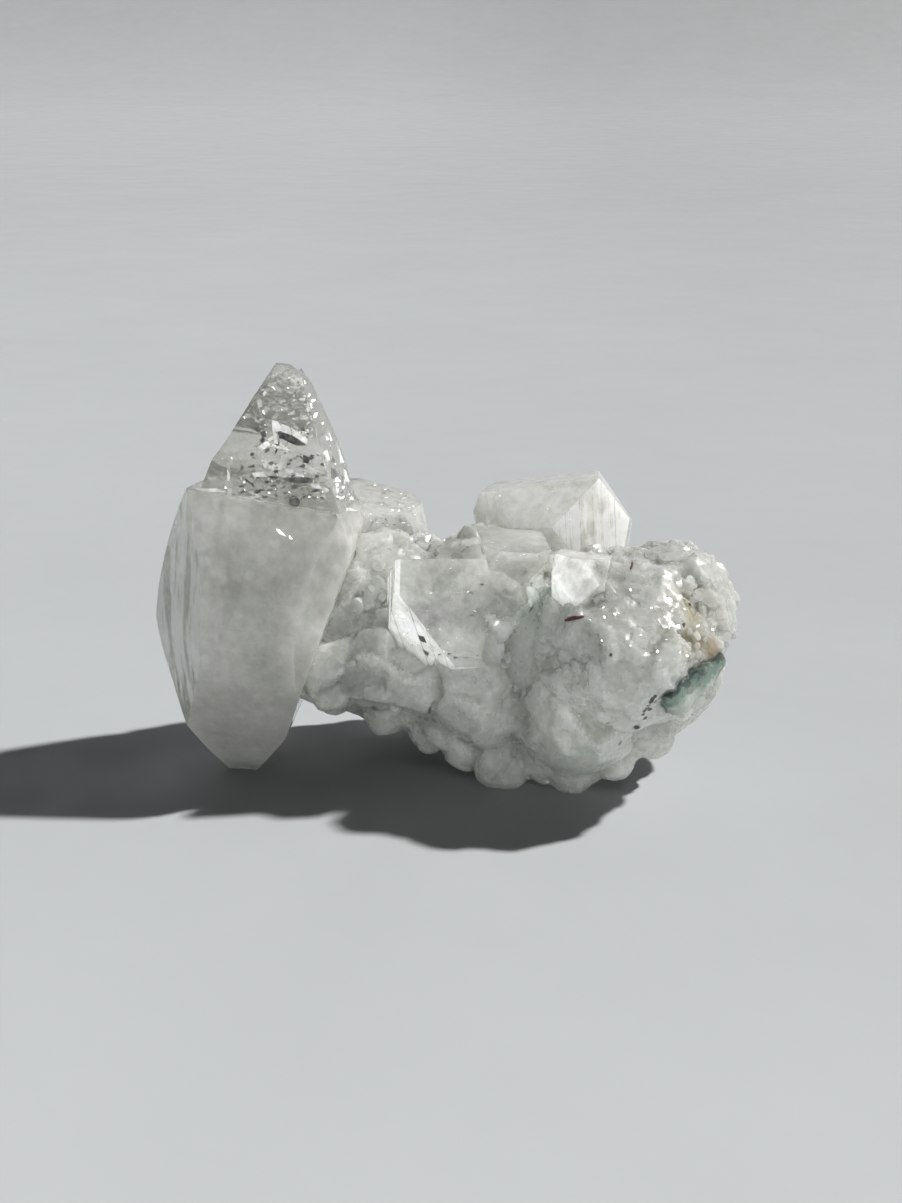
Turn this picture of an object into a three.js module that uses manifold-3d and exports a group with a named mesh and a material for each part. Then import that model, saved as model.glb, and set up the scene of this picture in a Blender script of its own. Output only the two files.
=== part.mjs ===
// An apophyllite specimen: clear tetragonal crystals seated in a milky crust of small crystals,
// with a green sliver on its right side. It stands on the point of its tallest crystal and on the
// lumps under the crust. Millimetres, +Z up, +X along the specimen, -Y towards the viewer.
// The origin is the middle of the bounding box, on the surface that the specimen stands on.
import * as THREE from "three";
import { ConvexGeometry } from "three/addons/geometries/ConvexGeometry.js";
import { mergeVertices } from "three/addons/utils/BufferGeometryUtils.js";
import Module from "manifold-3d";

const wasm = await Module();
wasm.setup();

// Driving dimensions.
const PYRAMID_SLOPE = 60.4; // degrees from the basal plane, the habit of this mineral
const SEAT_GAP = 0.3; // between a crystal and the pocket it grew in
const FLOOR_CUT = 60; // side of the block that flattens what touches the surface

const GLASSY = { color: 0xf4f6f4, roughness: 0.05, metalness: 0 };
const MILKY = { color: 0xd2d3cd, roughness: 0.35, metalness: 0 };
const GREEN = { color: 0x4d6f66, roughness: 0.3, metalness: 0 };

const degrees = THREE.MathUtils.degToRad;

// Repeatable random numbers from 0 to 1.
function dice(seed) {
  let state = seed;
  return () => {
    state = (state * 1664525 + 1013904223) % 4294967296;
    return state / 4294967296;
  };
}

// Solids

function solidFrom(geometry) {
  const bare = geometry.index ? geometry.toNonIndexed() : geometry.clone();
  for (const name of Object.keys(bare.attributes)) {
    if (name !== "position") bare.deleteAttribute(name);
  }
  const merged = mergeVertices(bare, 1e-4);
  return new wasm.Manifold(
    new wasm.Mesh({
      numProp: 3,
      vertProperties: merged.attributes.position.array,
      triVerts: new Uint32Array(merged.index.array),
    }),
  );
}

function geometryFrom(solid) {
  const mesh = solid.getMesh();
  return new THREE.BufferGeometry()
    .setAttribute("position", new THREE.BufferAttribute(mesh.vertProperties, 3))
    .setIndex(new THREE.BufferAttribute(mesh.triVerts, 1));
}

function largestBody(solid) {
  return solid.decompose().reduce((a, b) => (a.volume() > b.volume() ? a : b));
}

// The convex solid inside a set of planes: its corners are where three planes meet inside all
// the others.
function solidInside(planes) {
  const corners = [];
  const meeting = new THREE.Matrix3();
  for (let i = 0; i < planes.length; i++) {
    for (let j = i + 1; j < planes.length; j++) {
      for (let k = j + 1; k < planes.length; k++) {
        const three = [planes[i], planes[j], planes[k]];
        meeting.set(...three.flatMap((p) => p.normal.toArray()));
        if (Math.abs(meeting.determinant()) < 1e-4) continue;
        const reach = new THREE.Vector3(...three.map((p) => -p.constant));
        const corner = reach.applyMatrix3(meeting.invert());
        const inside = planes.every((p) => p.distanceToPoint(corner) < 1e-6);
        const isNew = corners.every((c) => c.distanceTo(corner) > 1e-3);
        if (inside && isNew) corners.push(corner);
      }
    }
  }
  return solidFrom(new ConvexGeometry(corners));
}

// Crystal faces. Each is a plane in the crystal's own frame, with its c-axis along Z: azimuth is
// the way the face looks round the axis, slope its angle from the basal plane (over 90 looks
// down), and it passes at this reach from the axis at this height.

function face(azimuth, slope, reach, height = 0) {
  const flat = Math.sin(degrees(slope));
  const normal = new THREE.Vector3(
    flat * Math.cos(degrees(azimuth)),
    flat * Math.sin(degrees(azimuth)),
    Math.cos(degrees(slope)),
  );
  return new THREE.Plane(normal, -(flat * reach + normal.z * height));
}

// The faces of one side of a barrel-shaped crystal, from [height, reach] points, top to bottom.
function sideFaces(azimuth, outline) {
  return outline.slice(1).map(([height, reach], i) => {
    const [upperHeight, upperReach] = outline[i];
    const slope = Math.atan2(upperHeight - height, reach - upperReach);
    return face(azimuth, THREE.MathUtils.radToDeg(slope), reach, height);
  });
}

function endFaces(top, bottom) {
  return [face(0, 0, 0, top), face(0, 180, 0, bottom)];
}

// A crystal's c-axis, from how far it leans right and back, and its turn about that axis.
function crystalFrame({ centre, leanRight = 0, leanBack = 0, turn = 0 }) {
  const lean = new THREE.Euler(degrees(-leanBack), degrees(leanRight), 0, "YXZ");
  const spin = new THREE.Matrix4().makeRotationZ(degrees(turn));
  return new THREE.Matrix4()
    .makeRotationFromEuler(lean)
    .multiply(spin)
    .setPosition(...centre);
}

// A crystal is a list of convex bodies that share a frame. Grown by a margin, it is the pocket
// that it sits in.
function crystalSolid(crystal, margin = 0) {
  const frame = crystalFrame(crystal);
  const bodies = crystal.bodies.map((faces) =>
    solidInside(
      faces.map((plane) => {
        const moved = plane.clone();
        moved.constant -= margin;
        return moved.applyMatrix4(frame);
      }),
    ),
  );
  return bodies.reduce((whole, body) => whole.add(body));
}

// The tallest crystal: a doubly terminated barrel whose corners are cut by tall lens-shaped
// prism faces, under a slightly narrower clear cap.
const TALL_SIDE = [
  [7.6, 4.9],
  [5.2, 6.05],
  [2.2, 7.05],
  [-0.9, 7.75],
  [-3.9, 7.9],
  [-6.2, 7.2],
  [-11.6, 4.85],
  [-14.8, 2.8],
  [-16.4, 1.5],
];
const TALL_RIGHT_SIDE = [
  [6.6, 5.0],
  [4.2, 6.4],
  [2.7, 6.5],
  [-11.8, 2.95],
  [-14.6, 1.3],
  [-16.4, 0.2],
];
const TALL_CORNER = [
  [9, 8.05],
  [-4, 8.0],
  [-11.6, 6.7],
];
const TALL_CAP_SIDE = [
  [15.7, 0.9],
  [8.8, 4.2],
  [6.0, 4.7],
];
const TALL_CAP_FRONT = [
  [15.7, 0.9],
  [9.0, 4.15],
  [6.0, 5.3],
];
const TALL_CAP_RIGHT = [
  [15.7, 1.15],
  [3.0, 6.95],
];
const LEDGE_WAY = 70; // degrees, the azimuth that the ledge slopes down to
const LEDGE_SLOPE = 8.5; // degrees

const tallCrystal = {
  centre: [-13.8, 0, 15.85],
  leanRight: 6,
  turn: -5,
  bodies: [
    [
      ...sideFaces(0, TALL_RIGHT_SIDE),
      ...[90, 180, 270].flatMap((azimuth) => sideFaces(azimuth, TALL_SIDE)),
      ...[45, 135, 225, 315].flatMap((azimuth) => sideFaces(azimuth, TALL_CORNER)),
      face(LEDGE_WAY, LEDGE_SLOPE, 0, 6.0),
      ...endFaces(7.4, -16.4),
    ],
    [
      ...sideFaces(0, TALL_CAP_RIGHT),
      ...sideFaces(90, TALL_CAP_SIDE),
      ...sideFaces(180, TALL_CAP_SIDE),
      ...sideFaces(270, TALL_CAP_FRONT),
      face(225, 42, 0.9, 15.3),
      face(45, 40, 1.1, 15.4),
      ...endFaces(15.75, 4.4),
    ],
  ],
};

// The crystal behind the tallest one: a block with a shallow sloping end face.
const rearLeftCrystal = {
  centre: [-7.1, 6.2, 16.1],
  leanRight: 10,
  leanBack: -4,
  turn: 28,
  bodies: [
    [
      ...[0, 90, 180, 270].map((azimuth) => face(azimuth, 90, 4.2)),
      ...[45, 135, 225, 315].map((azimuth) =>
        face(azimuth, PYRAMID_SLOPE, 4.5, 2.6),
      ),
      ...endFaces(3.9, -5),
    ],
  ],
};

// The blocky crystal at the front: flat faces forward and to the left. The corner between them
// is cut by a big pyramid face that catches the light, over a shaded point.
const frontCrystal = {
  centre: [0.4, -1.5, 14.0],
  leanRight: 2,
  leanBack: 2,
  turn: 8,
  bodies: [
    [
      face(270, 90, 5.1),
      face(180, 90, 5.4),
      face(225, 90, 7.15),
      face(0, 90, 5.6),
      face(90, 90, 4.6),
      face(226, 118, 6.25),
      face(270, 140, 5.1, -3.9),
      face(0, 160, -3.0, -6.9),
      face(180, 125, 5.9, -3.4),
      face(315, PYRAMID_SLOPE, 6.5, 1.5),
      face(90, 32, -5.1, 4.4),
      face(45, 60, 5.4, 1.2),
      ...endFaces(4.6, -6.6),
    ],
  ],
};

// The big clear crystal at the rear, whose striated prism face looks right and forward.
const rearCrystal = {
  centre: [7.9, 5.0, 17.9],
  leanRight: -3,
  leanBack: 6,
  turn: -15,
  bodies: [
    [
      face(270, 46, 2.3, 4.0),
      face(12, 57, 3.83, 4.0),
      face(90, 60, 3.2, 3.0),
      face(180, 62, 5.1, 3.0),
      face(180, 6, -4.4, 4.05),
      face(315, 90, 4.75),
      face(225, 90, 5.1),
      face(45, 90, 5.2),
      face(135, 90, 5.5),
      face(270, 120, 5.0, 0),
      face(90, 120, 4.6, 0),
      face(0, 100, 6.2),
      face(180, 100, 5.7),
      ...endFaces(4.3, -4.4),
    ],
  ],
};

// The crystal at the middle of the crust, which shows its lower point above the front one.
const middleCrystal = {
  centre: [4.6, -4.2, 19.2],
  leanRight: 6,
  leanBack: -2,
  turn: 6,
  bodies: [
    [
      face(270, 116, 2.7),
      face(0, 122, 2.7),
      face(180, 112, 2.5),
      face(90, 120, 2.7),
      face(270, 60, 2.9),
      face(0, 64, 2.6),
      face(180, 64, 2.5),
      face(90, 64, 2.9),
      face(225, 90, 2.95),
      face(315, 90, 2.9),
      ...endFaces(0.1, -3.3),
    ],
  ],
};

// The small bright block to the right of the front crystal.
const smallCrystal = {
  centre: [9.25, -8.0, 17.4],
  leanRight: 6,
  leanBack: 8,
  turn: -12,
  bodies: [
    [
      face(270, 90, 1.7),
      face(180, 90, 1.9),
      face(0, 90, 2.0),
      face(90, 90, 2.4),
      face(225, 180 - PYRAMID_SLOPE, 2.0, -0.1),
      face(315, 180 - PYRAMID_SLOPE, 2.0, -0.5),
      face(225, PYRAMID_SLOPE, 2.2, 0.6),
      face(315, PYRAMID_SLOPE, 2.1, 0.6),
      ...endFaces(1.75, -2.1),
    ],
  ],
};

// Each crystal gives way to those before it, where two grew against each other.
const CRYSTALS = {
  tall_crystal: tallCrystal,
  small_crystal: smallCrystal,
  middle_crystal: middleCrystal,
  front_crystal: frontCrystal,
  rear_crystal: rearCrystal,
  rear_left_crystal: rearLeftCrystal,
};

// The crust's main lobes: centre and radii.
const LOBES = [
  { centre: [13.0, -4.5, 11.7], radii: [7.2, 8.7, 6.5] },
  { centre: [16.4, -3.3, 13.7], radii: [4.6, 6.2, 4.8] },
  { centre: [9.4, -4.8, 6.9], radii: [5.0, 6.2, 5.4] },
  { centre: [13.4, -0.6, 8.2], radii: [6.8, 6.6, 6.2] },
  { centre: [3.2, 0.2, 11.5], radii: [8.4, 6.6, 6.9] },
  { centre: [-5.4, 2.4, 11.5], radii: [7.4, 6.0, 6.7] },
  { centre: [-10.4, 5.2, 11.8], radii: [6.2, 5.4, 6.2] },
  { centre: [-0.5, 4.0, 6.6], radii: [11.0, 5.4, 5.4] },
  { centre: [-3.8, -1.8, 8.9], radii: [7.0, 4.0, 3.6] },
  { centre: [3.0, -3.4, 7.2], radii: [4.5, 3.7, 4.6] },
  { centre: [-8.6, -2.7, 8.7], radii: [3.9, 3.0, 3.0] },
];
// The rounded lumps along the crust's underside: centre and radius. The first four touch down.
const LUMPS = [
  { centre: [9.3, -5.1, 1.7], radius: 2.1 },
  { centre: [4.0, -4.2, 1.7], radius: 2.1 },
  { centre: [6.2, 5.6, 2.2], radius: 2.7 },
  { centre: [-1.6, 5.4, 2.1], radius: 2.5 },
  { centre: [12.2, -5.0, 2.7], radius: 1.9 },
  { centre: [6.8, -4.6, 2.1], radius: 1.9 },
  { centre: [1.2, -2.2, 2.2], radius: 1.8 },
  { centre: [-1.8, -0.9, 2.9], radius: 1.7 },
  { centre: [-0.6, -2.6, 4.1], radius: 1.8 },
  { centre: [-5.0, 0.2, 4.0], radius: 1.8 },
  { centre: [-3.4, -1.0, 4.9], radius: 1.8 },
  { centre: [14.8, -4.2, 3.9], radius: 1.9 },
];
const LOBE_DETAIL = 2;
const LUMP_DETAIL = 1;

// The small crystals fused to the crust.
const SPRIG_SPACING = 3.4;
const SPRIG_RADIUS = [1.0, 1.75];
const SPRIG_HEIGHT = [0.6, 1.15];
const SPRIG_DEPTH = 1.3;
const SPRIG_TILT = 30; // degrees, the most a small crystal leans from the crust's normal

function ellipsoid(centre, radii, detail) {
  const geometry = new THREE.IcosahedronGeometry(1, detail);
  geometry.scale(...radii);
  geometry.translate(...centre);
  return solidFrom(geometry);
}

function depthIn(lobe, point) {
  const [x, y, z] = point
    .toArray()
    .map((value, i) => (value - lobe.centre[i]) / lobe.radii[i]);
  return Math.hypot(x, y, z);
}

// Points spread evenly over a lobe, on a spiral from pole to pole, with the lobe's normal there.
function spiralOver(lobe, spacing) {
  const radii = new THREE.Vector3(...lobe.radii);
  const area = (4 * Math.PI * (radii.x * radii.y + radii.y * radii.z + radii.x * radii.z)) / 3;
  const count = Math.round(area / spacing ** 2);
  const goldenAngle = Math.PI * (3 - Math.sqrt(5));
  return Array.from({ length: count }, (_, i) => {
    const along = 1 - (2 * i + 1) / count;
    const round = Math.sqrt(1 - along * along);
    const unit = new THREE.Vector3(
      along,
      round * Math.cos(goldenAngle * i),
      round * Math.sin(goldenAngle * i),
    );
    return {
      point: unit.clone().multiply(radii).add(new THREE.Vector3(...lobe.centre)),
      normal: unit.clone().divide(radii).normalize(),
    };
  });
}

// One small crystal: a four-sided or five-sided prism with a blunt point, sunk into the crust.
function sprig({ point, normal }, roll) {
  const sides = roll() < 0.7 ? 4 : 5;
  const radius = THREE.MathUtils.lerp(...SPRIG_RADIUS, roll());
  const height = THREE.MathUtils.lerp(...SPRIG_HEIGHT, roll());
  const shoulder = height * (0.2 + 0.4 * roll());
  const outline = [
    new THREE.Vector2(0, -SPRIG_DEPTH),
    new THREE.Vector2(radius * 0.9, -SPRIG_DEPTH),
    new THREE.Vector2(radius, shoulder),
    new THREE.Vector2(0, height),
  ];
  const geometry = new THREE.LatheGeometry(outline, sides);
  const tilt = new THREE.Euler(
    degrees(SPRIG_TILT * (2 * roll() - 1)),
    2 * Math.PI * roll(),
    degrees(SPRIG_TILT * (2 * roll() - 1)),
  );
  geometry.applyMatrix4(new THREE.Matrix4().makeRotationFromEuler(tilt));
  const upright = new THREE.Vector3(0, 1, 0);
  const aim = new THREE.Quaternion().setFromUnitVectors(upright, normal);
  geometry.applyQuaternion(aim);
  geometry.translate(...point);
  return solidFrom(geometry);
}

function crust() {
  const roll = dice(7);
  let solid = LOBES.map((lobe) => ellipsoid(lobe.centre, lobe.radii, LOBE_DETAIL)).reduce(
    (whole, lobe) => whole.add(lobe),
  );
  for (const { centre, radius } of LUMPS) {
    solid = solid.add(ellipsoid(centre, [radius, radius, radius], LUMP_DETAIL));
  }
  for (const lobe of LOBES) {
    const others = LOBES.filter((other) => other !== lobe);
    for (const place of spiralOver(lobe, SPRIG_SPACING)) {
      if (others.some((other) => depthIn(other, place.point) < 0.97)) continue;
      const onLump = LUMPS.some(
        ({ centre, radius }) => place.point.distanceTo(new THREE.Vector3(...centre)) < radius + 0.3,
      );
      if (onLump) continue;
      solid = solid.add(sprig(place, roll));
    }
  }
  return solid;
}

// The green sliver: a blade of stone let into the crust, from its outline seen flat on.
const SLIVER_CENTRE = [17.0, -10.9, 10.9];
const SLIVER_THICKNESS = 2.0;
const SLIVER_TURN = 40; // degrees, its right end turned back
const SLIVER_OUTLINE = [
  [-3.1, -0.4],
  [-1.7, 0.5],
  [-0.2, 1.2],
  [1.9, 1.0],
  [3.1, 1.5],
  [3.4, 0.8],
  [2.4, -0.3],
  [0.7, -1.2],
  [-0.9, -2.3],
  [-1.7, -2.3],
  [-2.4, -1.4],
];

function sliver(margin = 0) {
  const points = SLIVER_OUTLINE.map(([x, y]) => new THREE.Vector2(x, y));
  if (margin > 0) {
    const grown = points.map((point, i) => {
      const before = points.at(i - 1);
      const after = points[(i + 1) % points.length];
      const along = after.clone().sub(before).normalize();
      return point.clone().addScaledVector(new THREE.Vector2(-along.y, along.x), 1.6 * margin);
    });
    points.splice(0, points.length, ...grown);
  }
  const geometry = new THREE.ExtrudeGeometry(new THREE.Shape(points), {
    depth: SLIVER_THICKNESS + 2 * margin,
    bevelEnabled: false,
  });
  geometry.translate(0, 0, -SLIVER_THICKNESS / 2 - margin);
  geometry.rotateX(Math.PI / 2);
  geometry.rotateZ(degrees(SLIVER_TURN));
  geometry.translate(...SLIVER_CENTRE);
  return solidFrom(geometry);
}

const belowFloor = solidFrom(
  new THREE.BoxGeometry(FLOOR_CUT, FLOOR_CUT, FLOOR_CUT).translate(0, 0, -FLOOR_CUT / 2),
);

// Assembly

const specimen = new THREE.Group();

function addNode(name, solid, look) {
  const node = new THREE.Mesh(geometryFrom(solid), new THREE.MeshStandardMaterial(look));
  node.name = name;
  specimen.add(node);
}

let crustSolid = crust().subtract(belowFloor);
const pockets = [];
for (const [name, crystal] of Object.entries(CRYSTALS)) {
  const whole = crystalSolid(crystal).subtract(belowFloor);
  const grown = pockets.reduce((solid, pocket) => solid.subtract(pocket), whole);
  addNode(name, largestBody(grown), GLASSY);
  pockets.push(crystalSolid(crystal, SEAT_GAP));
}
crustSolid = pockets.reduce((solid, pocket) => solid.subtract(pocket), crustSolid);
addNode("celadonite_sliver", sliver(), GREEN);
crustSolid = crustSolid.subtract(sliver(SEAT_GAP));
addNode("druse_crust", largestBody(crustSolid), MILKY);

const middle = new THREE.Box3().setFromObject(specimen).getCenter(new THREE.Vector3());
for (const node of specimen.children) node.position.set(-middle.x, -middle.y, 0);

export default specimen;
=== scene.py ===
"""Dresses an apophyllite specimen: clear crystals, a milky druse crust, a green sliver and fibres.

Shapes are worked out in millimetres in a modelling frame, whose z = 0 is the surface that the
specimen stands on. put_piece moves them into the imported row's frame, in metres.
"""

import functools
import itertools
import math

import bpy
import numpy as np
from mathutils.bvhtree import BVHTree
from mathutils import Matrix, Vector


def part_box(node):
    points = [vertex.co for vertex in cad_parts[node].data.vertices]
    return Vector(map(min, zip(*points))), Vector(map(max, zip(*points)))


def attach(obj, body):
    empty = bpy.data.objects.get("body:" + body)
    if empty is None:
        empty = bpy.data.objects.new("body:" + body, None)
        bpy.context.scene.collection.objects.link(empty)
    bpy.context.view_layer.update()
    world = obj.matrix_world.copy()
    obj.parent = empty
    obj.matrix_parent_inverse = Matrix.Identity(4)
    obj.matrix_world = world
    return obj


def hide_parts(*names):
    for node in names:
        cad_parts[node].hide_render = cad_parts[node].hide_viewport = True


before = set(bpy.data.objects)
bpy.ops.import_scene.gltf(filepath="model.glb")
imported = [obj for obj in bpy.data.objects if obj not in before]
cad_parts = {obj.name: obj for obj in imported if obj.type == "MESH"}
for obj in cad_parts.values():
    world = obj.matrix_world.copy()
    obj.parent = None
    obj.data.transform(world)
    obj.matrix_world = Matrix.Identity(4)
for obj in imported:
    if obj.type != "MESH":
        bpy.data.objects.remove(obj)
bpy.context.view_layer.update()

bl_info = {
    "name": "Apophyllite specimen",
    "version": (1, 0, 0),
    "blender": (4, 5, 0),
    "location": "View3D > Sidebar > Specimen",
    "description": "Clear crystals on a milky crust of small crystals, with a sliver of green stone",
    "category": "Object",
}

MM = 0.001
# The tallest crystal's low corner in the modelling frame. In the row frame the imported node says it.
TALL_LOW_CORNER = (-22.3304, -8.1675, 0.0)
SHIFT = np.array(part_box("tall_crystal")[0]) / MM - TALL_LOW_CORNER

# How steeply this mineral's pyramid faces rise from its base, in degrees.
PYRAMID_SLOPE = 60.4

# The camera: its focal length and the photo's longer side in pixels, its sensor's longer side in
# mm, its angle in degrees, and its distance and target in mm.
CAMERA_FOCAL = 1800
PHOTO_HEIGHT = 1203
SENSOR_WIDTH = 36
CAMERA_ELEVATION = 18
CAMERA_DISTANCE = 138.5
CAMERA_TARGET = (0, 0, 13.2)
# The key light's direction: degrees round from +X, and above the floor.
KEY_TURN = 14
KEY_HEIGHT = 49


# Mesh and frame helpers


def unit(vectors):
    """Each vector divided by its length."""
    return vectors / np.maximum(np.linalg.norm(vectors, axis=-1, keepdims=True), 1e-12)


def spin(axis, angle):
    """Matrix of a turn by an angle in degrees round x (0), y (1) or z (2)."""
    c, s = math.cos(math.radians(angle)), math.sin(math.radians(angle))
    matrix = np.eye(3)
    a, b = (axis + 1) % 3, (axis + 2) % 3
    matrix[a, a], matrix[a, b] = c, -s
    matrix[b, a], matrix[b, b] = s, c
    return matrix


def crystal_axes(lean_right=0, lean_back=0, turn=0):
    """A crystal's own axes: turned about its long axis, then leant back, then leant right."""
    return spin(1, lean_right) @ spin(0, -lean_back) @ spin(2, turn)


def make_mesh(name, points, polygons, sharp_from=None):
    """A mesh from points in millimetres. Smooth with sharp edges where an angle is given."""
    mesh = bpy.data.meshes.new(name)
    mesh.from_pydata(np.asarray(points, dtype=float), [], polygons)
    mesh.validate()
    if sharp_from is not None:
        mesh.shade_smooth()
        mesh.set_sharp_from_angle(angle=math.radians(sharp_from))
    return mesh


def rows_of(mesh, what="co"):
    """The places of a mesh's points, or their normals, as rows."""
    values = np.empty(len(mesh.vertices) * 3)
    mesh.vertices.foreach_get(what, values)
    return values.reshape(-1, 3)


def gathered(groups):
    """The points and the faces of several meshes, as one list of each."""
    points, polygons = [], []
    for some, faces in groups:
        polygons += [[index + len(points) for index in face] for face in faces]
        points.extend(some)
    return points, polygons


def put_piece(name, mesh, material, slot, *nodes):
    """Puts a finished mesh into the scene in the row's frame, as a piece that rides on the root."""
    points = (rows_of(mesh) + SHIFT) * MM
    points[:, 2] = np.maximum(points[:, 2], 0.0)
    mesh.vertices.foreach_set("co", points.ravel())
    mesh.materials.clear()
    mesh.materials.append(material)
    mesh.update()
    piece = bpy.data.objects.new(name, mesh)
    bpy.context.scene.collection.objects.link(piece)
    join_group("Sunlit", piece)
    join_group("Crystals" if slot == "clear_crystal" else "Opaque", piece)
    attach(piece, "root")
    if nodes:
        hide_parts(*nodes)
    return piece


def join_group(name, item):
    """Adds an object to a collection that the lamps refer to, made at its first use."""
    named_group(name).objects.link(item)


def named_group(name):
    """The collection of that name, which is made if it isn't there."""
    return bpy.data.collections.get(name) or bpy.data.collections.new(name)


def finished(base, tools=()):
    """The mesh that an object's modifiers give. The object and its tools are removed."""
    bpy.context.view_layer.update()
    view = bpy.context.evaluated_depsgraph_get()
    result = bpy.data.meshes.new_from_object(base.evaluated_get(view))
    if not len(result.polygons):
        raise RuntimeError("a mesh came out empty")
    for item in (base, *tools):
        bpy.data.objects.remove(item)
    return result


def remeshed(mesh, size):
    """The mesh's shape rebuilt as even quads of about a size."""
    base = bpy.data.objects.new("work", mesh)
    bpy.context.scene.collection.objects.link(base)
    step = base.modifiers.new("step", "REMESH")
    step.mode = "VOXEL"
    step.voxel_size = size
    return finished(base)


def combined(first, others, operation="UNION"):
    """The first mesh joined with, or cut by, each of the others in turn."""
    scene = bpy.context.scene
    base = bpy.data.objects.new("work", first)
    scene.collection.objects.link(base)
    tools = []
    for mesh in others:
        tool = bpy.data.objects.new("tool", mesh)
        scene.collection.objects.link(tool)
        step = base.modifiers.new("step", "BOOLEAN")
        step.object = tool
        step.operation = operation
        step.solver = "MANIFOLD"
        tools.append(tool)
    return finished(base, tools)


def joined(meshes):
    """One mesh from many, joined in pairs, then pairs of pairs, and so on."""
    while len(meshes) > 1:
        pairs = [combined(a, [b]) for a, b in zip(meshes[::2], meshes[1::2])]
        meshes = pairs + meshes[len(meshes) // 2 * 2:]
    return meshes[0]


def grid_quads(rows, columns):
    """Quads of a grid that closes round its columns, outward where columns run anticlockwise."""
    row, column = np.meshgrid(np.arange(rows - 1), np.arange(columns), indexing="ij")
    after = (column + 1) % columns
    quads = [row * columns + column, row * columns + after]
    quads += [(row + 1) * columns + after, (row + 1) * columns + column]
    return np.stack(quads, axis=-1).reshape(-1, 4).tolist()


def flat_ended(rows, columns):
    """The faces of a grid that closes round its columns, with a flat face at each end."""
    last = (rows - 1) * columns
    ends = [list(range(columns))[::-1], list(range(last, last + columns))]
    return grid_quads(rows, columns) + ends


def pole_ended(rows, columns):
    """The faces of a grid that closes round its columns, with a fan to a pole at each end.

    The two poles come after the grid's points."""
    count = rows * columns
    ring = np.arange(columns)
    after = (ring + 1) % columns
    last = count - columns
    first_fan = np.stack([after, ring, np.full(columns, count)], axis=1)
    last_fan = np.stack([last + ring, last + after, np.full(columns, count + 1)], axis=1)
    return grid_quads(rows, columns) + first_fan.tolist() + last_fan.tolist()


def ball_angles(rows, columns):
    """A grid of the angle down from a ball's pole and of the angle round, without the poles."""
    fall = np.linspace(0, math.pi, rows + 2)[1:-1]
    around = np.linspace(0, 2 * math.pi, columns, endpoint=False)
    return np.meshgrid(fall, around, indexing="ij")


def smooth_step(low, high, values):
    """0 below low and 1 above high, with a soft S between them."""
    part = np.clip((values - low) / (high - low), 0.0, 1.0)
    return part * part * (3 - 2 * part)


# Crystals from their faces


def face_planes(rows):
    """Planes from rows of azimuth, slope from the base, reach from the axis and height there.

    The normal is (sin slope cos azimuth, sin slope sin azimuth, cos slope), and the plane passes
    at that reach along the azimuth at that height."""
    azimuth, slope, reach, height = (np.array(column, dtype=float) for column in zip(*rows))
    azimuth, slope = np.radians(azimuth), np.radians(slope)
    flat = np.sin(slope)
    normals = np.stack([flat * np.cos(azimuth), flat * np.sin(azimuth), np.cos(slope)], axis=1)
    return normals, flat * reach + np.cos(slope) * height


def side_rows(azimuth, outline):
    """The faces of one side of a barrel, one through each pair of neighbouring outline points."""
    rows = []
    for (upper_height, upper_reach), (height, reach) in zip(outline, outline[1:]):
        slope = math.degrees(math.atan2(upper_height - height, reach - upper_reach))
        rows.append((azimuth, slope, reach, height))
    return rows


def corners_and_faces(normals, offsets):
    """The solid inside a set of planes.

    Each corner solves the equations of three planes and lies inside all the others. Each face
    is the ring of corners on its plane, in order of their angle round its middle."""
    triples = np.array(list(itertools.combinations(range(len(offsets)), 3)))
    systems, reaches = normals[triples], offsets[triples]
    meeting = np.abs(np.linalg.det(systems)) > 1e-4
    corners = np.linalg.solve(systems[meeting], reaches[meeting][..., None])[..., 0]
    corners = corners[(corners @ normals.T <= offsets + 1e-6).all(axis=1)]
    corners = np.unique(corners.round(5) + 0.0, axis=0)
    polygons = []
    for normal, offset in zip(normals, offsets):
        ring = np.flatnonzero(np.abs(corners @ normal - offset) < 1e-4)
        if len(ring) < 3:
            continue
        spokes = corners[ring] - corners[ring].mean(axis=0)
        side = unit(spokes[0])
        angle = np.arctan2(spokes @ np.cross(normal, side), spokes @ side)
        polygons.append(ring[np.argsort(angle)].tolist())
    return corners, polygons


class Crystal:
    """One crystal's place, its planes in the modelling frame, and its striated faces."""

    def __init__(self, centre, rows, lean_right=0, lean_back=0, turn=0, poke=0.8, striated=()):
        self.centre = np.array(centre, dtype=float)
        self.axes = crystal_axes(lean_right, lean_back, turn)
        self.rows = rows
        normals, reaches = face_planes(rows)
        self.normals = normals @ self.axes.T
        self.offsets = reaches + self.normals @ self.centre
        self.poke = poke
        self.striated = striated

    def mesh(self, grow=0.0):
        """The crystal's solid, with every face moved outwards by grow."""
        corners, polygons = corners_and_faces(self.normals, self.offsets + grow)
        return make_mesh("crystal", corners, polygons)

    def depth(self, points):
        """How deep points lie inside the crystal, below 0 outside it."""
        return (self.offsets - points @ self.normals.T).min(axis=1)


# The tallest crystal: its lowest, ledge's and highest level, and its prism faces' reach.
TALL_FOOT = -16.4
TALL_LEDGE_HEIGHT = 6.0
TALL_TOP = 15.7
TALL_PRISM_REACH = 7.9
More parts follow.
